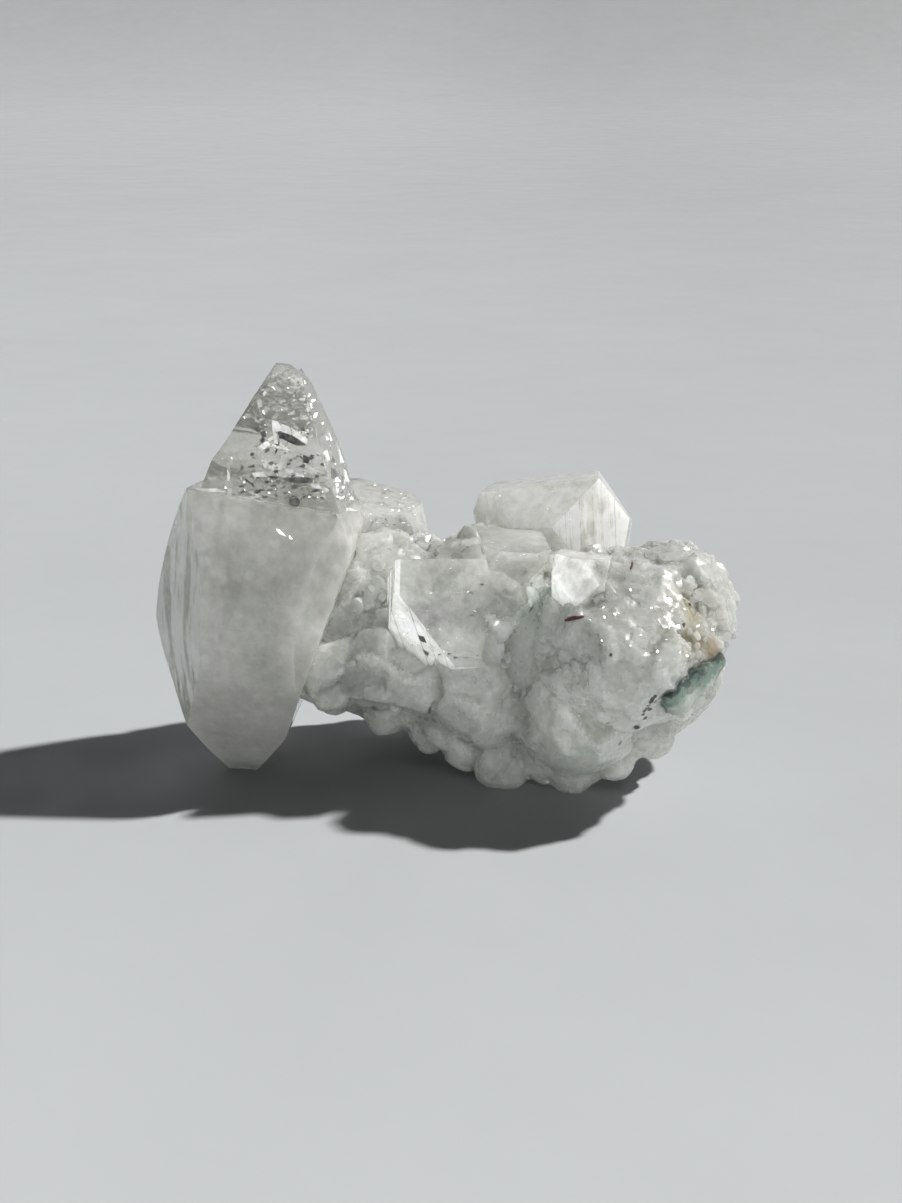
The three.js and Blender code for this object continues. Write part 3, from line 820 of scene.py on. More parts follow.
# The crust's lobes: middle and radii.
LOBES = [
    ((13.0, -4.5, 11.7), (7.2, 8.7, 6.5)),
    ((16.4, -3.3, 13.7), (4.6, 6.2, 4.8)),
    ((9.4, -4.8, 6.9), (5.0, 6.2, 5.4)),
    ((13.4, -0.6, 8.2), (6.8, 6.6, 6.2)),
    ((3.2, 0.2, 11.5), (8.4, 6.6, 6.9)),
    ((-5.4, 2.4, 11.5), (7.4, 6.0, 6.7)),
    ((-10.4, 5.2, 11.8), (6.2, 5.4, 6.2)),
    ((-0.5, 4.0, 6.6), (11.0, 5.4, 5.4)),
    ((-3.8, -1.8, 8.9), (7.0, 4.0, 3.6)),
    ((3.0, -3.4, 7.2), (4.5, 3.7, 4.6)),
    ((-8.6, -2.7, 8.7), (3.9, 3.0, 3.0)),
]
# The lobe that fills the crevice beside the front crystal.
CREVICE_FILL = ((6.1, -4.6, 11.0), (2.1, 3.3, 3.9))
# The lumps under the crust: middle and radius.
LUMPS = [
    ((9.3, -5.1, 1.7), 2.1), ((4.0, -4.2, 1.7), 2.1), ((6.2, 5.6, 2.2), 2.7),
    ((-1.6, 5.4, 2.1), 2.5), ((12.2, -5.0, 2.7), 1.9), ((6.8, -4.6, 2.1), 1.9),
    ((1.2, -2.2, 2.2), 1.8), ((-1.8, -0.9, 2.9), 1.7), ((-0.6, -2.6, 4.1), 1.8),
    ((-5.0, 0.2, 4.0), 1.8), ((-3.4, -1.0, 4.9), 1.8), ((14.8, -4.2, 3.9), 1.9),
]


def ball(centre, radii, rows, columns, waves=0.0, roll=None):
    """A ball, squashed to three radii, from circles carried between its poles.

    Slow waves over its two angles keep it from being regular."""
    fall, around = ball_angles(rows, columns)
    flat = np.sin(fall)
    body = np.stack([flat * np.cos(around), flat * np.sin(around), -np.cos(fall)], axis=-1)
    if waves:
        a, b, c = roll.uniform(0, 6, 3)
        swell = 1 + waves * np.sin(2 * around + a) * flat**2
        swell = swell + waves * np.sin(3 * fall + b) * np.cos(around + c) * flat
        body = body * swell[..., None]
    points = np.concatenate([body.reshape(-1, 3), [[0, 0, -1], [0, 0, 1]]]) * radii + centre
    return points, pole_ended(rows, columns)


def spiral_points(centre, radii, spacing, roll):
    """Points spread evenly over a squashed ball on a spiral between its poles, and the normals.

    The height falls evenly and the angle turns by the golden angle. A small random shift hides
    the spiral."""
    a, b, c = radii
    count = int(4 * math.pi * (a * b + b * c + a * c) / 3 / spacing**2)
    turn = np.arange(count) * math.pi * (3 - math.sqrt(5))
    along = 1 - (2 * np.arange(count) + 1) / count
    around = np.sqrt(1 - along**2)
    points = np.stack([around * np.cos(turn), along, around * np.sin(turn)], axis=1)
    points = unit(points + roll.normal(0, 0.22 * spacing / min(radii), points.shape))
    return points * radii + centre, unit(points / radii)


def lobe_depth(points, skip=None):
    """The least distance of points from the lobes' middles, as a share of the lobes' radii."""
    shares = [
        np.linalg.norm((points - centre) / np.array(radii), axis=1)
        for n, (centre, radii) in enumerate(LOBES)
        if n != skip
    ]
    return np.min(shares, axis=0)


def pocket_points(crystal, spacing, roll):
    """Points on a crystal's hidden wall in the crust, and the way to the crystal's middle.

    Rays leave the middle evenly in all directions and stop at the first of the planes, each
    moved inwards by the crystal's poke."""
    rays, _ = spiral_points((0, 0, 0), (1, 1, 1), spacing / 5.0, roll)
    reach = crystal.offsets - crystal.poke - crystal.normals @ crystal.centre
    with np.errstate(divide="ignore", invalid="ignore"):
        distance = np.where(rays @ crystal.normals.T > 1e-6, reach / (rays @ crystal.normals.T), 1e9)
    nearest = distance.argmin(axis=1)
    points = crystal.centre + rays * distance.min(axis=1)[:, None]
    return points, -crystal.normals[nearest]


# How far a small crystal's foot lies under the surface, as a share of its half width.
BLOCK_DEPTH = 0.9


def block_faces():
    """The triangles of one small crystal.

    Its 16 points are the foot's corners, the upright edges' upper ends, and the cuts' two upper
    corners at each edge, four of each."""
    faces = []
    for corner in range(4):
        following = (corner + 1) % 4
        edge, near, far = 4 + corner, 8 + corner, 12 + corner
        side = [corner, following, 4 + following, 8 + following, far, edge]
        faces += [[side[0], side[n], side[n + 1]] for n in range(1, 5)]
        faces.append([near, edge, far])
    top = [8, 12, 9, 13, 10, 14, 11, 15]
    faces += [[top[0], top[n], top[n + 1]] for n in range(1, 7)]
    return np.array(faces + [[0, 3, 2], [0, 2, 1]])


def blocks(points, normals, radii, heights, cuts, leans, roll):
    """Small crystals, one at each point: four-sided blocks whose upper corners are cut off.

    A block's half width is its radius, its cut takes a share of each side, and the cut's face
    slopes as this mineral's pyramid faces do. It stands on the normal, leant by a random angle
    and turned by another."""
    count = len(points)
    corners = [(1.0, 1.0), (-1.0, 1.0), (-1.0, -1.0), (1.0, -1.0)]
    drop = np.tan(math.radians(PYRAMID_SLOPE)) / math.sqrt(2) * cuts
    shape = np.zeros((count, 16, 3))
    squash = roll.uniform(0.75, 1.25, count)
    for n, (x, y) in enumerate(corners):
        shape[:, n] = [x, y, -BLOCK_DEPTH]
        shape[:, 4 + n, :2] = [x, y]
        shape[:, 4 + n, 2] = heights / radii - drop
        near = np.array([x, y]) - np.array([0, y] if n % 2 == 0 else [x, 0]) * cuts[:, None]
        far = np.array([x, y]) - np.array([x, 0] if n % 2 == 0 else [0, y]) * cuts[:, None]
        shape[:, 8 + n, :2], shape[:, 12 + n, :2] = near, far
        shape[:, 8 + n, 2] = shape[:, 12 + n, 2] = heights / radii
    shape[..., 0] *= squash[:, None]
    shape[:, 4:8, 2] = np.maximum(shape[:, 4:8, 2], -0.75 * BLOCK_DEPTH)
    helper = unit(roll.normal(size=(count, 3)))
    axis = unit(normals + np.tan(leans)[:, None] * helper)
    side = unit(np.cross(axis, unit(roll.normal(size=(count, 3)))))
    axes = np.stack([side, np.cross(axis, side), axis], axis=1)
    return np.einsum("nvi,nij->nvj", shape * radii[:, None, None], axes) + points[:, None]


def faceted(mesh, roll):
    """Presses a rounded mesh into soft facets, each the plane of the nearest of many seeds.

    A seed's plane leans by a random angle. A point moves along its own normal to the planes of
    its nearest seeds, weighted by how near they are, so neighbouring facets run into each other
    over a short slope. Large facets cover the whole crust, and small ones its upper right."""
    points, normals = rows_of(mesh), rows_of(mesh, "normal")
    count, batch = len(points), 4000
    calm = 0.3 + 0.7 * smooth_step(3.0, 5.5, points[:, 2])
    for width, lean, blur, share in ((3.0, 17, 0.06, calm), (1.0, 12, 0.1, fineness(points))):
        chosen = thinned(points, width, roll)
        seeds = points[chosen]
        ways = unit(normals[chosen] + math.tan(math.radians(lean)) * roll.normal(0, 0.6, seeds.shape))
        lift = roll.normal(0, 0.02 * width, len(seeds))
        warped = points + 0.35 * width * np.sin(points[:, [1, 2, 0]] * 2.6 / width + [0, 2, 4])
        moved = np.zeros(count)
        for start in range(0, count, batch):
            here = slice(start, start + batch)
            square = (seeds**2).sum(axis=1) - 2 * warped[here] @ seeds.T
            near = np.argpartition(square, 4, axis=1)[:, :4]
            square = np.take_along_axis(square, near, axis=1)
            weight = np.exp(-(square - square.min(axis=1, keepdims=True)) / (blur * width**2))
            way, seed = ways[near], seeds[near]
            rise = ((seed - points[here][:, None]) * way).sum(axis=2)
            slope = np.maximum((way * normals[here][:, None]).sum(axis=2), 0.5)
            rise = np.clip(rise / slope, -0.25 * width, 0.25 * width) + lift[near]
            moved[here] = (weight * rise).sum(axis=1) / weight.sum(axis=1)
        points = points + normals * (moved * share)[:, None]
    mesh.vertices.foreach_set("co", points.ravel())
    mesh.update()
    return mesh


def fineness(points):
    """How fine the crust's grain is: near 1 at the upper right, less at the left and low down."""
    right = smooth_step(-4, 8, points[:, 0]) * smooth_step(5, 12, points[:, 2])
    return 0.3 + 0.7 * np.maximum(right, smooth_step(12.0, 14.5, points[:, 2]))


def thinned(points, gap, roll):
    """Numbers of points spread over a cloud, about a gap apart: one of each cube's points."""
    cube = np.floor(points / gap + roll.uniform(0, 1, 3)).astype(int)
    order = roll.permutation(len(points))
    _, first = np.unique(cube[order], axis=0, return_index=True)
    return order[first]


def separate_groups(points, reach):
    """A group number for each block, so that no two blocks of one group can touch."""
    gap = np.linalg.norm(points[:, None] - points[None], axis=2)
    touching = gap < reach[:, None] + reach[None] + 0.02
    groups = np.full(len(points), -1)
    for n in range(len(points)):
        taken = set(groups[touching[n] & (groups >= 0)].tolist())
        groups[n] = next(g for g in itertools.count() if g not in taken)
    return groups


def crust_base(roll):
    """The crust's lobes and lumps as one solid with soft facets, without the crystals' pockets."""
    lobes = [make_mesh("lobe", *ball(centre, radii, 28, 44)) for centre, radii in LOBES]
    lumps = [
        make_mesh("lump", *ball(centre, (radius,) * 3, 16, 26, 0.05, roll))
        for centre, radius in LUMPS
    ]
    crust = faceted(remeshed(combined(lobes[0], lobes[1:] + lumps), 0.27), roll)
    fill = make_mesh("fill", *ball(*CREVICE_FILL, 28, 44, 0.05, np.random.default_rng(8)))
    return combined(crust, [fill])


# A place deeper in a lobe than this share of its radii is inside the crust.
INSIDE_SHARE = 0.97
# Small crystals stand above this height, clear of the floor.
CLEAR_OF_FLOOR = 0.8


def small_crystal_places(crust, spacing, roll):
    """Where the small crystals stand: places, ways up, size shares and how many are glints.

    They stand on the lobes and on the walls of the large crystals' pockets, clear of the sliver.
    The glints come last."""
    everyone = [TALL, *CRYSTALS.values()]
    groups = []
    for n, (centre, radii) in enumerate(LOBES):
        points, normals = spiral_points(centre, radii, spacing, roll)
        keep = (lobe_depth(points, skip=n) > INSIDE_SHARE) & (points[:, 2] > CLEAR_OF_FLOOR)
        for crystal in everyone:
            keep &= crystal.depth(points) < crystal.poke + 0.1
        for middle, radius in LUMPS:
            keep &= np.linalg.norm(points - middle, axis=1) > radius + 0.2
        keep &= ~over_sliver(points)
        keep &= roll.uniform(0, 1, len(points)) < 0.85 * fineness(points) ** 3
        groups.append((points[keep], normals[keep], np.ones(keep.sum())))
    for crystal in everyone:
        points, normals = pocket_points(crystal, spacing * 1.1, roll)
        keep = (lobe_depth(points) < INSIDE_SHARE) & (points[:, 2] > CLEAR_OF_FLOOR)
        for other in everyone:
            if other is not crystal:
                keep &= other.depth(points) < other.poke + 0.1
        groups.append((points[keep], normals[keep], np.full(keep.sum(), 0.8)))
    strewn = [outline[0] for outline in fleck_outlines(STREWN_GLINTS, GLINT_CORNERS, roll)]
    glints, _ = seen_through(crust)(GLINTS + strewn)
    sizes = np.full(len(glints), GLINT_SIZE)
    sizes[-STREWN_GLINTS:] = STREWN_GLINT_SIZE
    groups.append((glints, glint_way(glints), sizes))
    return [*(np.concatenate(column) for column in zip(*groups)), len(glints)]


def small_crystals(places, smallest, largest, roll):
    """All small crystals as one mesh, joined in layers of blocks that don't touch each other."""
    spots, ways, scales, glints = places
    count = len(spots)
    radii = (smallest + (largest - smallest) * roll.uniform(0, 1, count) ** 3) * scales
    heights = radii * roll.uniform(-0.1, 0.5, count)
    cuts = roll.uniform(0.2, 0.9, count)
    leans = np.radians(32) * roll.uniform(0, 1, count) ** 0.7
    leans[-glints:] = 0
    heights[-glints:] = 0.5 * radii[-glints:]
    shapes = blocks(spots, ways, radii, heights, cuts, leans, roll)
    reach = np.linalg.norm(shapes - spots[:, None], axis=2).max(axis=1)
    groups = separate_groups(spots, reach)
    one = block_faces()
    layers = []
    for group in range(groups.max() + 1):
        members = shapes[groups == group]
        faces = one[None] + 16 * np.arange(len(members))[:, None, None]
        layers.append(make_mesh("layer", members.reshape(-1, 3), faces.reshape(-1, 3).tolist()))
    return joined(layers)


def crust_mesh(spacing, smallest, largest):
    """The crust: lobes and lumps with small crystals all over them, joined into one solid."""
    roll = np.random.default_rng(7)
    crust = crust_base(roll)
    pockets = [crystal.mesh(-crystal.poke) for crystal in (TALL, *CRYSTALS.values())]
    crust = combined(crust, pockets, "DIFFERENCE")
    places = small_crystal_places(crust, spacing, roll)
    crust = combined(crust, [small_crystals(places, smallest, largest, roll)])
    under = make_mesh("under", *box_faces((-40, -40, -20), (40, 40, 0)))
    crust = combined(crust, [under, sliver_mesh(0.06, 7.0)], "DIFFERENCE")
    crust.shade_smooth()
    crust.set_sharp_from_angle(angle=math.radians(28))
    return crust


def over_sliver(points, margin=0.35):
    """True for points over the sliver's middle plane, within its outline's box and near it."""
    local = (points - SLIVER_CENTRE) @ spin(2, SLIVER_TURN)
    outline = np.array(SLIVER_OUTLINE)
    along, up = local[:, 0], local[:, 2]
    slant = up - 0.42 * along
    ends = outline[:, 1] - 0.42 * outline[:, 0]
    inside = (along > outline[:, 0].min() - margin) & (along < outline[:, 0].max() + margin)
    inside &= (slant > ends.min() - margin) & (slant < ends.max() + margin)
    return inside & (np.abs(local[:, 1]) < 2.6)


def box_faces(low, high):
    """A plain block between two corners."""
    low, high = np.array(low, dtype=float), np.array(high, dtype=float)
    points = np.array(list(itertools.product((0, 1), repeat=3))) * (high - low) + low
    faces = [[0, 1, 3, 2], [4, 6, 7, 5], [0, 4, 5, 1], [2, 3, 7, 6], [0, 2, 6, 4], [1, 5, 7, 3]]
    return points, faces


# The green sliver and the fibres

# The sliver's middle, half thickness, turn from facing the camera in degrees, and outline.
SLIVER_CENTRE = (17.0, -10.9, 10.9)
SLIVER_HALF = 1.0
SLIVER_TURN = 40
SLIVER_OUTLINE = [
    (-3.1, -0.4), (-1.7, 0.5), (-0.2, 1.2), (1.9, 1.0), (3.1, 1.5), (3.4, 0.8),
    (2.4, -0.3), (0.7, -1.2), (-0.9, -2.3), (-1.7, -2.3), (-2.4, -1.4),
]


def sliver_mesh(grow=0.0, clearing=1.0):
    """A blade of stone: its outline shrinks towards the middle while the surface rises.

    Each ring is the outline pulled towards the middle by a share. The share and the height give
    a low rounded edge and a nearly flat face, with slow waves and small breaks along the rim. The
    tool that cuts its bed is the same shape, grown, and its front is raised by clearing."""
    roll = np.random.default_rng(3)
    outline = np.array(SLIVER_OUTLINE)[::-1]
    closed = np.vstack([outline, outline[:1]])
    length = np.concatenate([[0], np.cumsum(np.linalg.norm(np.diff(closed, axis=0), axis=1))])
    columns = 140
    walk = np.linspace(0, length[-1], columns, endpoint=False)
    rim = np.stack([np.interp(walk, length, closed[:, k]) for k in (0, 1)], axis=1)
    chips = np.interp(walk, np.linspace(0, length[-1], 60), roll.uniform(0, 0.13, 60))
    middle = rim.mean(axis=0)
    rim = rim - unit(rim - middle) * (chips[:, None] - 1.6 * grow)
    pull = np.array([0.25, 0.5, 0.75, 0.9, 0.97, 1.0, 0.985, 0.93, 0.8, 0.5, 0.25])
    rise = np.array([0.86, 0.9, 0.88, 0.8, 0.55, 0.1, -0.4, -0.7, -0.85, -0.9, -0.92])
    ring = middle + (rim - middle)[None] * pull[:, None, None]
    waves = 0.07 * np.sin(2.3 * ring[..., 0] + 1.1 * ring[..., 1])
    waves = waves + 0.05 * np.sin(5.1 * ring[..., 1] - 1.7 * ring[..., 0])
    rise = rise * np.where(rise > 0, clearing, 1.0)
    waves = waves * (np.sign(rise) * (pull < 0.95))[:, None]
    height = (SLIVER_HALF + grow) * rise[:, None] + waves
    flat = np.concatenate([ring, height[..., None]], axis=2).reshape(-1, 3)
    tips = [[*middle, (SLIVER_HALF + grow) * 0.86 * clearing]]
    tips.append([*middle, -(SLIVER_HALF + grow) * 0.92])
    flat = np.concatenate([flat, tips])
    points = np.stack([flat[:, 0], -flat[:, 2], flat[:, 1]], axis=1)
    points = points @ spin(2, SLIVER_TURN).T + np.array(SLIVER_CENTRE)
    return make_mesh("sliver", points, pole_ended(len(pull), columns), 35)


# Fibres on the crust: their places as the camera sees them, and their radii.
FIBRES = [
    ([(8.8, -1.5), (9.3, -1.4), (9.8, -1.3), (10.3, -1.2)], 0.11),
    ([(8.9, -1.4), (9.4, -1.2), (9.9, -1.2)], 0.06),
    ([(13.8, 2.4), (13.9, 2.7), (14.0, 3.0)], 0.08),
]


def tube(path, radius, rows=16, columns=8):
    """A thread: a circle carried along a smooth path, closing to a point at both ends."""
    path = np.array(path, dtype=float)
    ends = np.vstack([2 * path[0] - path[1], path, 2 * path[-1] - path[-2]])
    where = np.linspace(0, len(path) - 1 - 1e-6, rows)
    knot = where.astype(int)
    t = (where - knot)[:, None]
    a, b, c, d = (ends[knot + k] for k in range(4))
    line = 0.5 * (2 * b + (c - a) * t + (2 * a - 5 * b + 4 * c - d) * t**2)
    line = line + 0.5 * (3 * b - a - 3 * c + d) * t**3
    along = unit(np.gradient(line, axis=0))
    side = unit(np.cross(along, [0.1, 0.2, 1.0]))
    up = np.cross(along, side)
    angle = np.linspace(0, 2 * math.pi, columns, endpoint=False)
    taper = radius * np.sqrt(np.clip(1 - (2 * where / (len(path) - 1) - 1) ** 6, 0.02, 1))
    turn = np.cos(angle)[:, None] * side[:, None] + np.sin(angle)[:, None] * up[:, None]
    points = (line[:, None] + taper[:, None, None] * turn).reshape(-1, 3)
    return points, flat_ended(rows, columns)


# Materials

# How much the edges of the green stone's colours rise for each step to the right.
STONE_RISE = 0.46


class Shader:
    """A material's node tree with short ways to add and join nodes."""

    def __init__(self, name):
        self.material = bpy.data.materials.new(name)
        self.material.use_nodes = True
        self.tree = self.material.node_tree
        self.tree.nodes.clear()
        self.output = self.add("ShaderNodeOutputMaterial")
        self.surface = self.add("ShaderNodeBsdfPrincipled")
        self.join(self.surface.outputs[0], self.output.inputs["Surface"])
        self.place = self.add("ShaderNodeTexCoord").outputs["Object"]

    def add(self, kind, **values):
        """A new node with some of its own settings."""
        node = self.tree.nodes.new(kind)
        for name, value in values.items():
            setattr(node, name, value)
        return node

    def join(self, source, target):
        self.tree.links.new(source, target)

    def set(self, **values):
        """Constants on the surface's own sockets, named with underscores."""
        for name, value in values.items():
            socket = name.replace("_", " ").title().replace("Ior", "IOR")
            self.surface.inputs[socket].default_value = value

    def feed(self, **sources):
        """Joins outputs to the surface's sockets, named with underscores."""
        for name, source in sources.items():
            self.join(source, self.surface.inputs[name.replace("_", " ").title()])

    def coordinates(self):
        """The three parts of the place on the object."""
        node = self.add("ShaderNodeSeparateXYZ")
        self.join(self.place, node.inputs[0])
        return node.outputs

    def stretched(self, scale):
        """Object coordinates scaled along each axis."""
        node = self.add("ShaderNodeMapping")
        node.inputs["Scale"].default_value = scale
        self.join(self.place, node.inputs["Vector"])
        return node.outputs[0]

    def noise(self, scale, detail=3.0, rough=0.5, source=None):
        node = self.add("ShaderNodeTexNoise")
        node.inputs["Scale"].default_value = scale
        node.inputs["Detail"].default_value = detail
        node.inputs["Roughness"].default_value = rough
        self.join(source or self.place, node.inputs["Vector"])
        return node.outputs["Fac"]

    def cells(self, scale):
        """The distance from the middle of the nearest of many cells."""
        node = self.add("ShaderNodeTexVoronoi")
        node.inputs["Scale"].default_value = scale
        self.join(self.place, node.inputs["Vector"])
        return node.outputs["Distance"]

    def remap(self, source, low, high, new_low, new_high):
        node = self.add("ShaderNodeMapRange")
        for index, value in enumerate((low, high, new_low, new_high), 1):
            node.inputs[index].default_value = value
        self.join(source, node.inputs[0])
        return node.outputs[0]

    def ramp(self, source, stops):
        node = self.add("ShaderNodeValToRGB")
        elements = node.color_ramp.elements
        while len(elements) < len(stops):
            elements.new(0.5)
        for element, (position, colour) in zip(elements, stops):
            element.position = position
            element.color = (*colour, 1.0)
        self.join(source, node.inputs[0])
        return node.outputs[0]

    def math(self, operation, a, b):
        node = self.add("ShaderNodeMath", operation=operation)
        for socket, value in zip(node.inputs, (a, b)):
            if isinstance(value, (int, float)):
                socket.default_value = value
            else:
                self.join(value, socket)
        return node.outputs[0]

    def product(self, a, b):
        return self.math("MULTIPLY", a, b)

    def sum(self, a, b):
        return self.math("ADD", a, b)

    def along(self, source, way):
        """How far a vector reaches along a way."""
        node = self.add("ShaderNodeVectorMath", operation="DOT_PRODUCT")
        node.inputs[1].default_value = way
        self.join(source, node.inputs[0])
        return node.outputs["Value"]

    def toned(self, colour, tone):
        """A colour made darker or lighter by a tone."""
        grey = self.add("ShaderNodeCombineColor")
        for socket in grey.inputs[:3]:
            self.join(tone, socket)
        return self.blend(1.0, colour, grey.outputs[0], "MULTIPLY")

    def blend(self, factor, a, b, mode="MIX"):
        node = self.add("ShaderNodeMix", data_type="RGBA", blend_type=mode)
        colours = [s for s in node.inputs if s.type == "RGBA"]
        for socket, value in ((node.inputs[0], factor), (colours[0], a), (colours[1], b)):
            if isinstance(value, bpy.types.NodeSocket):
                self.join(value, socket)
            elif isinstance(value, (int, float)):
                socket.default_value = value
            else:
                socket.default_value = (*value, 1.0)
        return next(s for s in node.outputs if s.type == "RGBA")

    def bump(self, source, distance, strength):
        node = self.add("ShaderNodeBump")
        node.inputs["Strength"].default_value = strength
        node.inputs["Distance"].default_value = distance
        self.join(source, node.inputs["Height"])
        self.feed(normal=node.outputs[0])

    def spot(self, centre, radius, soft=0.5):
        """1 near a place in the modelling frame, and 0 beyond the radius. Soft is what fades."""
        where = (np.array(centre, dtype=float) + SHIFT) * MM
        node = self.add("ShaderNodeVectorMath", operation="DISTANCE")
        node.inputs[1].default_value = where
        self.join(self.place, node.inputs[0])
        inner = radius * MM * (1 - soft)
        return self.remap(node.outputs["Value"], inner, radius * MM, 1.0, 0.0)


def tall_milk(shader):
    """1 in the tallest crystal's body under its ledge, where it is milky, and 0 in its cap."""
    upward = next(n for n, row in zip(TALL.normals, TALL.rows) if row[0] == TALL_LEDGE_WAY)
    foot = (TALL.centre + TALL.axes[:, 2] * TALL_LEDGE_HEIGHT + SHIFT) * MM
    ledge = float(upward @ foot)
    wander = shader.remap(shader.noise(600, 3), 0.3, 0.7, -0.0003, 0.0003)
    height = shader.sum(shader.along(shader.place, upward), wander)
    edge = shader.remap(height, ledge - 0.0018, ledge + 0.0001, 1.0, 0.0)
    share = shader.product(edge, shader.remap(shader.noise(200, 2), 0.35, 0.65, 0.75, 1.0))
    prism = facing(shader, TALL, TALL_PRISM_FACES)
    return shader.product(share, shader.remap(prism, 0.0, 1.0, 1.0, 0.8))


def facing(shader, crystal, numbers):
    """1 on some of a crystal's faces, told by their normals, and 0 on the others."""
    geometry = shader.add("ShaderNodeNewGeometry")
    total = 0.0
    for number in numbers:
        likeness = shader.along(geometry.outputs["True Normal"], crystal.normals[number])
        total = shader.math("MAXIMUM", total, shader.remap(likeness, 0.9, 0.97, 0.0, 1.0))
    return total


def crystal_material(name, settings, haze, milk=None, painted_light_and_shade=(), highlight_streaks=None, calm=1.0):
    """Clear crystal: transmission with a faint tint inside, over soft haze.

    Soft clouds and a fine grain raise and lower the haze and its tone, and calm is their share.
    The painted light and shade spots are places, radii and what they add to the tone. Where milk
    says so the crystal is hazier and rougher, up to the two amounts given with it. The faces named
    for streaks carry upright painted highlight streaks between two amounts, and the tone is darker
    low down, as painted shade."""
    shader = Shader(name)
    shader.set(ior=settings.ior, subsurface_weight=1.0, subsurface_scale=0.004)
    shader.set(subsurface_radius=(1.0, 1.0, 1.0), coat_weight=0.25, coat_roughness=0.03)
    lighter = [min(1, channel * 1.04) for channel in settings.tint]
    tint = shader.ramp(shader.noise(120, 4), [(0.3, settings.tint), (0.7, lighter)])
    # Painted shade: the tone is darker low down and lighter higher up.
    tone = shader.remap(shader.coordinates()[2], 0.002, 0.021, 0.66, 0.9)
    clouds = shader.remap(shader.noise(330, 4, 0.6), 0.3, 0.7, -0.5, 0.5)
    grain = shader.remap(shader.noise(1300, 4, 0.7), 0.3, 0.7, -0.5, 0.5)
    uneven = shader.sum(shader.product(clouds, 0.6), shader.product(grain, 1.4))
    tone = shader.sum(tone, shader.product(uneven, settings.mottling * calm))
    # Painted light and painted shade: spots that lighten or darken the tone.
    for centre, radius, amount in painted_light_and_shade:
        tone = shader.sum(tone, shader.product(shader.spot(centre, radius), amount))
    if highlight_streaks:
        crystal, numbers, weakest, strongest = highlight_streaks
        # Painted highlights: upright streaks, a few of them darker, on the named faces.
        painted_streaks = shader.noise(1.0, 3, 0.5, shader.stretched((1300, 1300, 110)))
        painted_streaks = shader.remap(painted_streaks, 0.42, 0.62, weakest, strongest)
        tone = shader.sum(tone, shader.product(painted_streaks, facing(shader, crystal, numbers)))
    rough = shader.noise(260, 5, 0.6)
    rough = shader.remap(rough, 0.35, 0.75, settings.roughness, settings.roughness * 2)
    total = shader.sum(haze, shader.product(uneven, 0.2 * haze))
    if milk:
        milky, haze_more, rough_more = milk
        share = milky(shader)
        total = shader.sum(total, shader.product(share, haze_more))
        rough = shader.sum(rough, shader.product(share, rough_more))
    clear = shader.remap(total, 0.0, 0.95, 1.0, 0.05)
    shader.feed(base_color=shader.toned(tint, tone), transmission_weight=clear, roughness=rough)
    fine = shader.product(shader.noise(1500, 3, 0.6), 0.4)
    shader.bump(shader.sum(shader.noise(420, 2), fine), 0.00002, 0.6)
    inside = shader.add("ShaderNodeVolumeAbsorption")
    inside.inputs["Color"].default_value = (*settings.depth_tint, 1.0)
    inside.inputs["Density"].default_value = settings.density
    shader.join(inside.outputs[0], shader.output.inputs["Volume"])
    return shader.material


def crust_material(settings, grains, painted_light_and_shade, stains):
    """Milky crust: light sinks in and spreads under a thin gloss.

    Two grains mix the whiter and the greyer milk. The stains colour it in patches, painted light
    and painted shade spots add to its tone, and the dark grains, with a few scattered specks, lie
    over all."""
    shader = Shader("milky_druse")
    shader.set(subsurface_weight=settings.milkiness, transmission_weight=0.3, ior=1.5)
    shader.set(subsurface_radius=(1.0, 1.0, 0.95), subsurface_scale=settings.depth)
    shader.set(coat_weight=0.22, coat_roughness=0.14)
    grain = shader.product(shader.noise(1200, 4, 0.7), 0.45)
    grain = shader.sum(grain, shader.product(shader.noise(230, 4, 0.6), 0.55))
    base = shader.ramp(grain, [(0.36, settings.grey), (0.62, settings.white)])
    for centre, radius, soft, scale, colour in stains:
        patchy = shader.remap(shader.noise(scale, 4), 0.3, 0.6, 0.0, 1.0)
        share = shader.product(shader.spot(centre, radius, soft), patchy)
        base = shader.blend(share, base, colour)
    tone = shader.remap(shader.cells(2300), 0.1, 0.6, 1.07, 0.9)
    # Painted light and painted shade: spots that lighten or darken the crust's tone.
    for centre, radius, amount in painted_light_and_shade:
        tone = shader.sum(tone, shader.product(shader.spot(centre, radius, 0.8), amount))
    base = shader.toned(base, shader.math("MINIMUM", tone, 1.2))
    specks = shader.remap(shader.cells(520), 0.03, 0.07, 1, 0)
    dark = shader.product(specks, shader.remap(shader.noise(150, 2), 0.62, 0.66, 0, 1))
    for centre, radius in grains:
        dark = shader.math("MAXIMUM", dark, shader.spot(centre, radius * 1.2, 0.4))
    rough = shader.remap(shader.noise(900, 3), 0.3, 0.7, 0.14, 0.45)
    shader.feed(base_color=shader.blend(dark, base, (0.05, 0.035, 0.03)), roughness=rough)
    shader.bump(shader.noise(2200, 4, 0.7), 0.00006, 0.6)
    return shader.material


